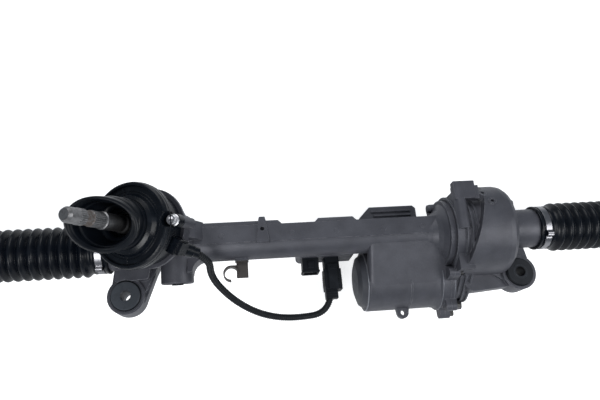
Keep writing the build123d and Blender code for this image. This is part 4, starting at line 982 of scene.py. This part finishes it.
@dataclass
class Castings:
    """Cast-in and machined detail of the housing and the gear cover."""

    tube_radius: float = 21.0
    spine_top: float = 56.8
    bush_spacing: float = 500.0
    ear_radius: float = 22.5
    barrel_radius: float = 40.0
    marks_x: tuple[float, ...] = (118.0, 205.0, 262.0, 322.0, 372.0)
    tube_seams: tuple[tuple[float, float], ...] = ((180.0, 292.0), (0.0, 205.0))
    tube_seam_start: float = 88.0
    barrel_seam: Triple = (232.0, 304.0, 88.0)
    shoulder: tuple[tuple[float, float], ...] = (
        (301.2, 6.0), (301.6, 3.2), (303.0, 1.3), (305.4, 0.35), (308.5, 0.0), (414.0, 0.0))
    rims: tuple[tuple[float, float, float, float], ...] = (
        (38.9, 300.9, 0.9, 0.75), (44.0, 397.4, 0.5, 0.2), (44.0, 412.6, 0.5, 0.2), (40.0, 356.0, 0.3, 0.12))

    def build(self) -> None:
        """Builds the castings' own pieces."""
        self.parting_lines()
        self.ejector_marks()
        self.seat_rings()
        self.barrel_shoulder()
        self.rubbed_rims()

    def parting_lines(self) -> None:
        """Thin flash line where the moulds met, on both sides of the tube and under the barrel."""
        shape = Shape()
        for turn, length in self.tube_seams:
            spot = RACK.turned(turn).moved(x=self.tube_radius - 0.3, z=self.tube_seam_start)
            shape.box(spot, (1.1, 0.9, length), 0.3)
        turn, start, length = self.barrel_seam
        spot = MOTOR.turned(turn).moved(x=self.barrel_radius - 0.3, z=start)
        shape.box(spot, (1.2, 0.9, length), 0.3)
        piece("parting_lines", shape.mesh("parting_lines"), CAST)

    def ejector_marks(self) -> None:
        """Shallow round pads that the mould's pins leave along the flat panel and the arm."""
        pad = Shape().turned(HERE, [(0, 0.4), (0.82, 0.4), (0.9, 0.36), (1, 0.22), (1, -0.3)], 28)
        spots = [Axis((x, 62.0, self.spine_top - 0.02)) for x in self.marks_x]
        mesh = scattered("ejector_marks", pad.template("ejector_pad"), spots, CAST, 3.6, 1.0)
        piece("ejector_marks", mesh, CAST)

    def seat_rings(self) -> None:
        """Machined rims of the two bush eyes, low and high."""
        shape = Shape()
        for x in (0.0, self.bush_spacing):
            for z, sign in ((32.0, 1.0), (4.0, -1.0)):
                foot, face = z - sign * 0.5, z + sign * 0.06
                outline = [(18.6, foot), (18.6, face), (self.ear_radius - 1.4, face),
                           (self.ear_radius - 1.2, foot)]
                shape.turned(Axis((x, 0.0, 0.0)), outline, 64, True)
        piece("bush_eye_seats", shape.mesh("bush_eye_seats"), CAST)

    def barrel_shoulder(self) -> None:
        """Cast flank that runs from the motor barrel up to the rack tube, with a rounded left end."""
        barrel = Vector((MOTOR_Y - RACK_Y, MOTOR_Z - RACK_Z))
        tube_r, barrel_r = self.tube_radius - 0.6, self.barrel_radius - 0.25
        lean = math.pi / 2 + math.asin((barrel_r - tube_r) / barrel.length)
        sides = [Matrix.Rotation(turn, 2) @ barrel.normalized() for turn in (lean, -lean)]
        normal = next(side for side in sides if side.y >= 0)
        high, low = normal * tube_r, barrel + normal * barrel_r
        deep = -normal * 9.0
        shape = Shape()
        rings = []
        for x, inset in self.shoulder:
            a, b = high.lerp(low, inset / 60.0) - normal * inset, low - normal * inset
            rings.append(shape.ring(RACK.matrix @ Vector((p.x, p.y, x))
                                    for p in (a, b, low + deep, high + deep)))
        shape.skin(rings)
        piece("barrel_shoulder", shape.mesh("barrel_shoulder", 50.0), CAST)

    def rubbed_rims(self) -> None:
        """Rims of the barrel and its flange, and the core seam, in a bright finish that is a painted
        highlight.
        """
        shape = Shape()
        for r, x, wide, high in self.rims:
            foot, crest = r - 0.4, r + high
            outline = [(foot, x - wide), (crest, x - wide * 0.3), (crest, x + wide * 0.3), (foot, x + wide)]
            shape.turned(MOTOR, rounded(outline), 120, True)
        # the bright finish on these rings paints the rims' highlights
        piece("rubbed_rims", shape.mesh("rubbed_rims", 60.0), PAINTED_RIM_HIGHLIGHT)


@dataclass
class JointBolts:
    """Flanged hexagon bolts round the joint between housing and gear cover."""

    rack_spots: tuple[tuple[float, float], ...] = ((-38.0, 52.5), (-75.0, 52.5), (172.0, 54.0))
    motor_spots: tuple[tuple[float, float], ...] = (
        (152.0, 48.0), (190.0, 49.0), (250.0, 48.0), (300.0, 48.0))
    face: float = 415.0

    def spots(self) -> list[Axis]:
        """Frames of the bolt heads."""
        return [centre.turned(a).moved(x=r, z=self.face)
                for centre, group in ((RACK, self.rack_spots), (MOTOR, self.motor_spots)) for a, r in group]

    @staticmethod
    def head() -> bpy.types.Mesh:
        """One bolt head, 1 unit tall for each millimetre, with a washer face and a dished top."""
        washer = [(0, -0.3), (5.4, -0.3), (5.4, 0.7), (5.0, 1.2), (3.9, 1.7), (0, 1.7)]
        hexagon = [(4.45 * math.cos(math.tau * i / 6), 4.45 * math.sin(math.tau * i / 6)) for i in range(6)]
        shape = Shape().turned(HERE, washer, 40).prism(HERE, hexagon, 1.4, 5.4)
        shape.turned(HERE, [(4.35, 5.39), (3.7, 5.82), (3.0, 5.8), (2.6, 5.4), (0, 5.3)], 36)
        return shape.template("bolt_head_model")

    def build(self) -> None:
        """Builds the seven heads."""
        mesh = scattered("joint_bolt_heads", self.head(), self.spots(), DARK_STEEL, spin=1.0)
        piece("joint_bolt_heads", mesh, DARK_STEEL, replaces=["flange_bolts"])


@dataclass
class ControlUnit:
    """Lid screws of the control unit under the tube."""

    screw_x: tuple[float, float] = (309.0, 373.5)
    screw_y: tuple[float, float] = (64.0, 85.0)
    face: float = -34.0

    def build(self) -> None:
        """Builds the screws."""
        head = [(0, -0.4), (3.5, -0.4), (3.5, 0.5), (3.2, 1.8), (2.3, 2.7), (1.7, 2.95), (1.6, 2.9),
                (1.5, 1.3), (0, 1.1)]
        model = Shape().turned(HERE, head, 36).template("lid_screw_model")
        spots = [Axis((x, y, self.face), (0.0, 0.0, -1.0)) for x in self.screw_x for y in self.screw_y]
        mesh = scattered("lid_screws", model, spots, BRIGHT, spin=1.0, seed=5)
        piece("lid_screws", mesh, BRIGHT, replaces=["ecu_screws"])


@dataclass
class Boot:
    """Folded rubber boot of one rack end, in two pieces."""

    side: Side
    start: float
    crest: float = 32.0
    root: float = 27.2
    pitches: int = 14
    folds: float = 163.0
    collar: float = 26.0
    split: float = 10.7
    wall: float = 1.1
    small_radius: float = 10.6
    small_length: float = 16.0

    @property
    def pitch(self) -> float:
        """Length of one fold."""
        return self.folds / self.pitches

    def radius(self, turns: float) -> float:
        """Outer radius at a number of folds from the collar."""
        wave = 0.5 + 0.5 * math.cos(math.tau * (turns - 0.2))
        return self.root + (self.crest - self.root) * wave ** 0.6

    def fold_mesh(self, low: float, high: float, name: str) -> bpy.types.Mesh:
        """Folds between two counts, made by a tree from a grid.

        Args:
            low: first fold count.
            high: last fold count.
            name: name of the mesh.

        Returns:
            The tube of folds.
        """
        rows_per_fold = 14
        tree = ShapeTree(name + "_tree", {
            "Rows": int(round((high - low) * rows_per_fold)) + 1, "Segments": 81, "First Fold": low,
            "Folds": high - low, "Pitch": self.pitch * MM, "Crest Radius": self.crest * MM,
            "Root Radius": self.root * MM})
        grid = tree.node("GeometryNodeMeshGrid", inputs={
            "Size X": 1.0, "Size Y": 1.0, "Vertices X": tree.read("Rows"),
            "Vertices Y": tree.read("Segments")})
        spot = tree.node("GeometryNodeInputPosition")
        u = tree.part(spot, 0) + 0.5
        angle = (tree.part(spot, 1) + 0.5) * math.tau
        turns = tree.read("First Fold") + u * tree.read("Folds")
        wave = (0.5 + 0.5 * ((turns - 0.2) * math.tau).cos()) ** 0.6
        radius = tree.read("Root Radius") + (tree.read("Crest Radius") - tree.read("Root Radius")) * wave
        place = tree.vector(radius * angle.cos(), radius * angle.sin(),
                            self.collar * MM + turns * tree.read("Pitch"))
        rolled = tree.node("GeometryNodeSetPosition", inputs={"Geometry": grid, "Position": place})
        seam = tree.node("GeometryNodeMergeByDistance", inputs={"Geometry": rolled, "Distance": 1e-5})
        made = tree.evaluate(seam, bpy.data.meshes.new(name + "_host"), BOOT_RUBBER, name, 60.0)
        made.transform(outwards(self.start, self.side).matrix @ Matrix.Scale(1.0 / MM, 4))
        return made

    def walled(self, shape: Shape, name: str) -> bpy.types.Object:
        """Gives the joined sheet its wall thickness and returns the object."""
        obj = linked(name + "_sheet", shape.mesh(name + "_sheet", 60.0))
        solid = obj.modifiers.new("wall", "SOLIDIFY")
        solid.thickness = self.wall * MM
        solid.offset = -1.0
        made = as_mesh(obj)
        bpy.data.objects.remove(obj)
        made.name = name
        return piece(name, made, BOOT_RUBBER, None)

    def build(self) -> None:
        """Builds both pieces."""
        word, sign = self.side.word, self.side.value
        axis = outwards(self.start, self.side)
        collar = rounded([(25.9, 0.0), (28.9, 0.0), (28.9, 3.2), (27.6, 4.6), (27.6, 14.8), (28.6, 16.2),
                          (28.6, 18.4), (27.4, 20.5), (28.4, 23.4), (self.radius(0.0), self.collar)])
        inner = Shape().turned(axis, collar, 80).take(self.fold_mesh(0.0, self.split, word + "_inner_folds"))
        near = self.walled(inner, word + "_boot_inner")
        x, r, last = self.collar + self.folds, self.small_radius, float(self.pitches)
        tip = x + self.small_length
        small = rounded([(self.radius(last), x), (29.2, x + 1.4), (24.0, x + 3.2), (15.0, x + 4.2),
                         (r, x + 5.4), (r, x + 14.0), (r + 0.9, x + 14.6), (r + 0.9, tip), (r - 1.4, tip)])
        outer = Shape().turned(axis, small, 80).take(self.fold_mesh(self.split, last, word + "_outer_folds"))
        far = self.walled(outer, word + "_boot_outer")

        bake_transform(near)
        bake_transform(far)
        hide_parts(f"{word}_bellows")


@dataclass
class EarClamp:
    """Stepless ear clamp: a bright band with a pinched ear and a lapped end."""

    name: str
    axis: Axis
    radius: float
    low: float
    high: float
    ear_turn: float
    ear_wide: float
    ear_high: float
    thick: float
    body: str
    node: str

    def path(self) -> list[tuple[float, float]]:
        """Inner face of the band, once round, with the ear."""
        half, tall = self.ear_wide / 2, self.ear_high
        reach = math.asin(min(0.9, half * 1.25 / self.radius))
        a0 = math.radians(self.ear_turn)
        left = [(-half * 1.15, 0.35), (-half * 0.72, tall * 0.3), (-half * 0.8, tall * 0.72),
                (-half * 0.55, tall), (-half * 0.2, tall * 0.93)]
        ear = left + [(0.0, tall * 0.88)] + [(-v, h) for v, h in reversed(left)]
        points = []
        steps = 84
        for i in range(steps + 1):
            a = reach + (math.tau - 2 * reach) * i / steps
            points.append((self.radius * math.cos(a0 + a), self.radius * math.sin(a0 + a)))
        for v, h in rounded(ear):
            r = math.sqrt(self.radius ** 2 - v ** 2) + h
            points.append((r * math.cos(a0) - v * math.sin(a0), r * math.sin(a0) + v * math.cos(a0)))
        for i in range(15):
            a = reach + 0.05 + 0.5 * i / 14
            r = self.radius + self.thick * (1.04 if i else 0.4)
            points.append((r * math.cos(a0 + a), r * math.sin(a0 + a)))
        return points

    def build(self) -> None:
        """Builds the clamp and its row of slots."""
        shape = Shape().strip(self.axis, self.path(), self.low, self.high, self.thick)
        middle, wide = (self.low + self.high) / 2, (self.high - self.low) * 0.34
        for k in range(3):
            spot = self.axis.turned(self.ear_turn + 62.0 + 9.0 * k)
            hook = spot.moved(x=self.radius + self.thick * 0.9, z=middle - wide / 2)
            shape.box(hook, (self.thick * 0.9, 1.6, wide), 0.2)
        piece(self.name, shape.mesh(self.name, 40.0), BAND, self.body, [self.node])


@dataclass
class SensorTop:
    """Rings on the black sensor cover and the rubber cup above it."""

    top: float = 100.0
    lip: float = 166.0
    lip_radius: float = 30.0
    offset: float = 1.6
    askew: float = 6.0
    rim_height: float = 144.0
    rim_normal: Triple = (0.5703, -0.1422, 0.809)
    rim_deep: float = 2.4
    slant_from: float = 120.5
    taper: float = 0.085
    rings: tuple[tuple[float, float, float, float], ...] = ((37.6, 96.8, 0.9, 1.5), (48.35, 92.2, 0.5, 0.7))

    def build(self) -> None:
        """Builds the cover's detail and the cup."""
        self.cup()
        self.cover_rings()

    def cup(self) -> None:
        """Open rubber cup that closes the bulkhead hole, sitting a little askew."""
        t0, lip, r = self.top + 5.0, self.lip, self.lip_radius
        axis = PINION.moved(y=self.offset, z=t0).tipped(self.askew).moved(z=-t0)
        foot = rounded([(14.6, t0 + 3), (14.6, t0), (27.0, t0), (27.6, t0 + 0.8), (27.6, t0 + 4),
                        (26.4, t0 + 6)])
        shape = Shape().turned(PINION, foot, 96)
        outline = rounded([
            (15.2, t0 + 4.2), (26.6, t0 + 4.2), (27.5, t0 + 5.4), (27.5, t0 + 12.4), (26.4, t0 + 13.4),
            (26.4, t0 + 14.6), (27.4, t0 + 15.8), (r - 1.2, t0 + 22.8), (r, t0 + 24.6), (r, lip - 22.6),
            (r - 1.3, lip - 21.2), (r - 1.3, lip - 17.2), (r - 0.1, lip - 15.8), (r + 0.3, lip - 5.0),
            (r + 0.1, lip - 1.0), (r - 0.9, lip), (r - 2.9, lip - 0.1), (r - 3.8, lip - 1.4),
            (r - 4.2, lip - 2.6), (r - 5.2, lip - 3.6), (r - 5.4, lip - 12.0), (r - 5.0, lip - 13.0),
            (r - 5.4, lip - 14.8),
            (r - 6.8, lip - 15.6), (r - 7.4, lip - 28.0), (r - 8.6, t0 + 20.0), (r - 9.0, t0 + 15.2),
            (17.2, t0 + 13.4), (15.6, t0 + 11.5), (15.2, t0 + 9.0),
        ], 0.25)
        shape.turned(axis, outline, 120, wobble=lambda a, t: 0.12 * math.sin(3 * a + 0.6) * (t - t0) / 60)
        self.slant(shape)
        piece("dash_cup", shape.mesh("dash_cup", 50.0), SEAL_RUBBER, replaces=["dash_seal"])

    def slant(self, shape: Shape) -> None:
        """Brings the cup's rim down onto its slanted plane, with the rim's own section kept."""
        out = PINION.matrix
        back = out.inverted()
        nx, ny, nz = self.rim_normal
        rim_from = self.lip - self.rim_deep
        for v in shape.bm.verts:
            x, y, t = back @ v.co
            if t <= self.slant_from:
                continue
            plane = self.rim_height - (x * nx + y * ny) / nz
            share = (plane - self.slant_from) / (self.lip - self.slant_from)
            if t > rim_from:
                t = plane - (self.lip - t)
            else:
                squeeze = (plane - self.rim_deep - self.slant_from) / (rim_from - self.slant_from)
                t = self.slant_from + (t - self.slant_from) * squeeze
            k = 1.0 - self.taper * (1.0 - min(1.0, max(0.0, share)))
            v.co = out @ Vector((x * k, y * k, t))

    def cover_rings(self) -> None:
        """Raised moulded rings on the cover's face and a parting ring round its disc."""
        shape = Shape()
        for r, t, wide, high in self.rings:
            outline = [(r - wide, t - 0.6), (r - wide, t + high), (r + wide, t + high), (r + wide, t - 0.6)]
            shape.turned(PINION, rounded(outline), 110, True)
        piece("cover_rings", shape.mesh("cover_rings"), PLASTIC)


@dataclass
class Conduit:
    """Corrugated conduit from the sensor cover round to its plug, with its sizes in metres."""

    route: tuple[Triple, ...] = (
        (0.076, 0.0385, 0.1002), (0.105, 0.0299, 0.086), (0.1035, 0.013, 0.0525), (0.125, -0.0084, 0.026),
        (0.1508, -0.0243, 0.012), (0.1776, -0.033, 0.0035), (0.208, -0.0355, -0.003),
        (0.2488, -0.0316, -0.004), (0.2596, 0.008, -0.004), (0.26, 0.019, -0.004))
    crest: float = 0.0044
    groove: float = 0.0037
    pitch: float = 0.0026
    length: float = 0.2887

    def centre_line(self) -> list[Vector]:
        """Points of the smooth route, as its own spline gives them."""
        curve = bpy.data.curves.new("conduit_route", "CURVE")
        curve.dimensions = "3D"
        curve.resolution_u = 24
        spline = curve.splines.new("NURBS")
        spline.points.add(len(self.route) - 1)
        for point, place in zip(spline.points, self.route):
            point.co = (*place, 1.0)
        spline.order_u = 3
        spline.use_endpoint_u = True
        line = linked("conduit_route", curve)
        points = [v.co.copy() for v in as_mesh(line).vertices]
        bpy.data.objects.remove(line)
        return points

    def stations(self, points: Sequence[Vector]) -> tuple[list[Vector], list[float]]:
        """Even steps along the line with the ribbed radius at each.

        Args:
            points: the smooth line.

        Returns:
            Places and radii.
        """
        reach = [0.0]
        for a, b in zip(points, points[1:]):
            reach.append(reach[-1] + (b - a).length)
        count = int(reach[-1] / (self.pitch / 8))
        places, radii, k = [], [], 0
        for i in range(count + 1):
            s = reach[-1] * i / count
            while k < len(reach) - 2 and reach[k + 1] < s:
                k += 1
            share = (s - reach[k]) / max(reach[k + 1] - reach[k], 1e-9)
            places.append(points[k].lerp(points[k + 1], share))
            wave = 0.5 + 0.5 * math.cos(math.tau * s / self.pitch)
            radii.append(self.groove + (self.crest - self.groove) * min(1.0, wave * 1.5))
        return places, radii

    def build(self) -> None:
        line = self.centre_line()
        places, radii = self.stations(line)
        shape = Shape().tube(places, radii, 20)
        made = piece("sensor_loom", shape.mesh("sensor_loom", 70.0), CONDUIT,
                     replaces=["sensor_conduit"])
        length = sum((b - a).length for a, b in zip(line, line[1:]))
        LOG.info("loom line %.4f m", length)


@dataclass
class Connectors:
    """Grips, latches and lips on the plugs and sockets by the arm."""

    plug_x: float = 259.0
    socket_x: float = 231.0
    height: float = -4.0

    def build(self) -> None:
        """Builds the small moulded detail."""
        shape = Shape()
        top = Axis((self.plug_x, 0.0, self.height + 11.3))
        for k in range(5):
            shape.box(top.moved(y=1.6 + 2.6 * k), (15.0, 1.1, 0.9), 0.25)
        shape.box(top.moved(y=24.6, z=2.2), (8.0, 3.6, 1.6), 0.4)
        for sign in (-1.0, 1.0):
            wall = Axis((self.plug_x + sign * 11.3, 0.0, self.height), (sign, 0.0, 0.0), (0.0, 1.0, 0.0))
            for k in range(6):
                shape.box(wall.moved(x=2.4 + 2.5 * k), (1.1, 15.0, 0.9), 0.25)
        for k in range(3):
            shape.box(Axis((self.plug_x - 2.5, -12.6 + 3.4 * k, self.height + 6.3)), (13.0, 1.4, 0.9), 0.3)
        piece("plug_grips", shape.mesh("plug_grips"), MATT_PLASTIC)
        lips = Shape()
        rim = Axis((self.socket_x, 24.2, self.height), (0.0, -1.0, 0.0), (1.0, 0.0, 0.0))
        for at in (11.2, -11.2):
            lips.box(rim.moved(y=at), (20.0, 1.2, 2.2), 0.35)
        for at in (11.2, -11.2):
            lips.box(rim.moved(x=at), (1.2, 20.0, 2.2), 0.35)
        lips.box(Axis((self.socket_x, 31.0, self.height + 10.8)), (7.0, 9.0, 2.2), 0.5)
        piece("socket_lips", lips.mesh("socket_lips"), MATT_PLASTIC)


@dataclass
class Bushes:
    """Serrated washer faces and moulded rings of the two mounting bushes."""

    spacing: float = 500.0
    face: float = 36.0

    def build(self) -> None:
        """Builds the serration and the rubber rings."""
        tick = Shape().box(HERE, (2.6, 0.35, 0.16), 0.08)
        spots = [Axis((x, 0.0, 0.0)).turned(a).moved(x=8.4, z=self.face - 0.06)
                 for x in (0.0, self.spacing) for a in range(0, 360, 10)]
        mesh = scattered("washer_serration", tick.template("serration_model"), spots, WASHER)
        piece("washer_serration", mesh, WASHER)
        shape = Shape()
        for x in (0.0, self.spacing):
            for z, sign in ((33.5, 1.0), (2.5, -1.0)):
                foot, crest = z - sign * 0.4, z + sign * 0.7
                outline = [(12.2, foot), (12.4, crest), (15.4, crest), (15.8, foot)]
                shape.turned(Axis((x, 0, 0)), rounded(outline), 56, True)
        piece("bush_moulded_rings", shape.mesh("bush_moulded_rings"), RUBBER)


@dataclass
class RodThread:
    """Thread of one inner tie rod, on both sides of its lock nut."""

    side: Side
    ball: float
    pitch: float = 1.5
    ridge: float = 0.5
    runs: tuple[Triple, ...] = ((6.5, 163.4, 183.6), (6.75, 196.4, 238.0))

    def helix(self, name: str, radius: float, low: float, high: float) -> bpy.types.Mesh:
        """A turned ridge.

        Args:
            name: name of the mesh.
            radius: radius of the ridge's foot.
            low: first distance from the ball.
            high: last distance from the ball.

        Returns:
            The ridge's mesh.
        """
        tree = ShapeTree(name + "_tree", {"Radius": radius * MM, "Length": (high - low) * MM,
                                          "Turns": (high - low) / self.pitch, "Ridge": self.ridge * MM})
        spiral = tree.node("GeometryNodeCurveSpiral", inputs={
            "Resolution": 36, "Rotations": tree.read("Turns"), "Start Radius": tree.read("Radius"),
            "End Radius": tree.read("Radius"), "Height": tree.read("Length")})
        profile = tree.node("GeometryNodeCurvePrimitiveCircle", {"mode": "RADIUS"},
                            {"Resolution": 4, "Radius": tree.read("Ridge")})
        ridge = tree.node("GeometryNodeCurveToMesh", inputs={
            "Curve": spiral, "Profile Curve": profile, "Fill Caps": True})
        made = tree.evaluate(ridge, bpy.data.meshes.new(name + "_host"), ROD_STEEL, name, 30.0)
        made.transform(outwards(self.ball, self.side).moved(z=low).matrix @ Matrix.Scale(1.0 / MM, 4))
        return made

    def build(self) -> None:
        """Builds the thread before and after the nut."""
        word = self.side.word
        shape = Shape()
        for i, (radius, low, high) in enumerate(self.runs):
            shape.bm.from_mesh(self.helix(f"{word}_thread_{i}", radius, low, high))
        piece(f"{word}_rod_thread", shape.mesh(f"{word}_rod_thread", 30.0), ROD_STEEL,
              f"{word}_tie_rod_body")


@dataclass
class Studio:
    """Camera, lamps, floor and surroundings."""

    position: Triple = (0.14787, -0.12137, 0.71454)
    right: Triple = (0.99385788, -0.07602223, 0.08041852)
    up: Triple = (0.04558017, 0.94339717, 0.32851822)
    forward: Triple = (0.1008413, 0.32283493, -0.94106782)
    lens: float = 33.0
    sensor_width: float = 36.0
    floor_grey: float = 0.8
    floor_glow: float = 0.62
    lamps: tuple[tuple[str, Triple, Triple, float, float], ...] = (
        ("key", (-0.35, -0.9, 1.25), (0.2, 0.03, 0.02), 0.8, 15.0),
        ("side", (1.25, -0.35, 0.9), (0.35, 0.03, 0.0), 0.8, 9.0),
        ("back", (0.1, 1.15, 1.0), (0.2, 0.05, 0.03), 1.1, 9.0),
    )

    def camera(self) -> None:
        """Camera that looks down on the part from the front."""
        data = bpy.data.cameras.new("camera")
        data.lens, data.sensor_width = self.lens, self.sensor_width
        data.clip_start, data.clip_end = 0.01, 20.0
        obj = linked("camera", data)
        back = -Vector(self.forward)
        turn = Matrix((Vector(self.right), Vector(self.up), back)).transposed().to_4x4()
        turn.translation = Vector(self.position)
        obj.matrix_world = turn
        bpy.context.scene.camera = obj

    def light(self) -> None:
        """Soft area lamps round the object."""
        for name, place, aim, size, power in self.lamps:
            data = bpy.data.lights.new(name, "AREA")
            data.shape, data.size, data.energy = "DISK", size, power
            obj = linked(name, data)
            obj.location = place
            obj.rotation_euler = (Vector(aim) - Vector(place)).to_track_quat("-Z", "Y").to_euler()

    def surroundings(self) -> None:
        """White world that also shows in metal, and lights the object at a plain level."""
        world = bpy.data.worlds.new("studio")
        bpy.context.scene.world = world
        world.use_nodes = True
        nodes = Nodes(world.node_tree)
        background = world.node_tree.nodes["Background"]
        camera, glossy, clear = (nodes.node("ShaderNodeLightPath", output=f"Is {kind} Ray")
                                 for kind in ("Camera", "Glossy", "Transmission"))
        seen = camera + clear
        strength = 0.4 + seen * 0.6 - glossy * 0.14
        world.node_tree.links.new(strength.socket, background.inputs["Strength"])
        cool = nodes.node("ShaderNodeCombineColor",
                          inputs={0: 0.8 + seen * 0.2, 1: 0.89 + seen * 0.11, 2: 1.0})
        world.node_tree.links.new(cool.socket, background.inputs["Color"])

    def floor(self) -> None:
        """Pale floor that stays white round the object and keeps its shadow."""
        low = CAD_BOX[0].z - 0.0005
        shape = Shape()
        shape.bm.faces.new(shape.ring((x, y, low) for x, y in ((-9, -9), (9.5, -9), (9.5, 9), (-9, 9))))
        obj = linked("floor", shape.mesh("floor"))
        s = Surface("floor")
        grey = self.floor_grey
        s.finish(Base_Color=(grey, grey, grey), Roughness=0.9, Specular_IOR_Level=0.1)
        white = (1.0, 1.0, 1.0, 1.0)
        glow = s.node("ShaderNodeEmission", inputs={"Color": white, "Strength": self.floor_glow})
        both = s.node("ShaderNodeAddShader", inputs={0: Value(s, s.shader.outputs[0]), 1: glow})
        seen = s.node("ShaderNodeLightPath", output="Is Camera Ray")
        mixed = s.node("ShaderNodeMixShader", inputs={0: seen, 1: Value(s, s.shader.outputs[0]), 2: both})
        s.tree.links.new(mixed.socket, s.tree.nodes["Material Output"].inputs["Surface"])
        obj.data.materials.append(s.material)

    def build(self) -> None:
        """Builds the studio."""
        self.camera()
        self.light()
        self.surroundings()
        self.floor()
        bpy.context.scene.view_settings.view_transform = "Standard"


def dress_nodes() -> None:
    """Gives every CAD node its finish."""
    for finish, names in NODE_FINISHES.items():
        for name in names:
            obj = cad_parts[name]
            obj.data.materials.clear()
            obj.data.materials.append(finish)
    left = sorted(name for name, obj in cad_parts.items()
                  if obj.data.materials and not obj.data.materials[0].use_nodes)
    LOG.info("nodes without a finish: %s", left)


def main() -> None:
    """Builds the scene in order."""
    logging.basicConfig(level=logging.INFO, format="%(message)s")
    Studio().build()
    dress_nodes()
    Conduit().build()
    Castings().build()
    JointBolts().build()
    ControlUnit().build()
    ends = ((Side.LEFT, -18.0, -105.5, -150.0), (Side.RIGHT, 527.0, 643.5, 120.0))
    for side, start, ball, ear_turn in ends:
        word, axis = side.word, outwards(start, side)
        Boot(side, start).build()
        EarClamp(name=f"{word}_boot_clamp", axis=axis, radius=27.65, low=6.0, high=14.0,
                 ear_turn=ear_turn, ear_wide=6.4, ear_high=4.6, thick=0.9, body="housing",
                 node=f"{word}_big_clamp").build()
        EarClamp(name=f"{word}_rod_clamp", axis=axis, radius=10.65, low=196.0, high=202.0,
                 ear_turn=90.0, ear_wide=5.0, ear_high=3.0, thick=0.8, body=f"{word}_tie_rod_body",
                 node=f"{word}_small_clamp").build()
        RodThread(side, ball).build()
    SensorTop().build()
    Connectors().build()
    Bushes().build()


if __name__ == "__main__":
    main()
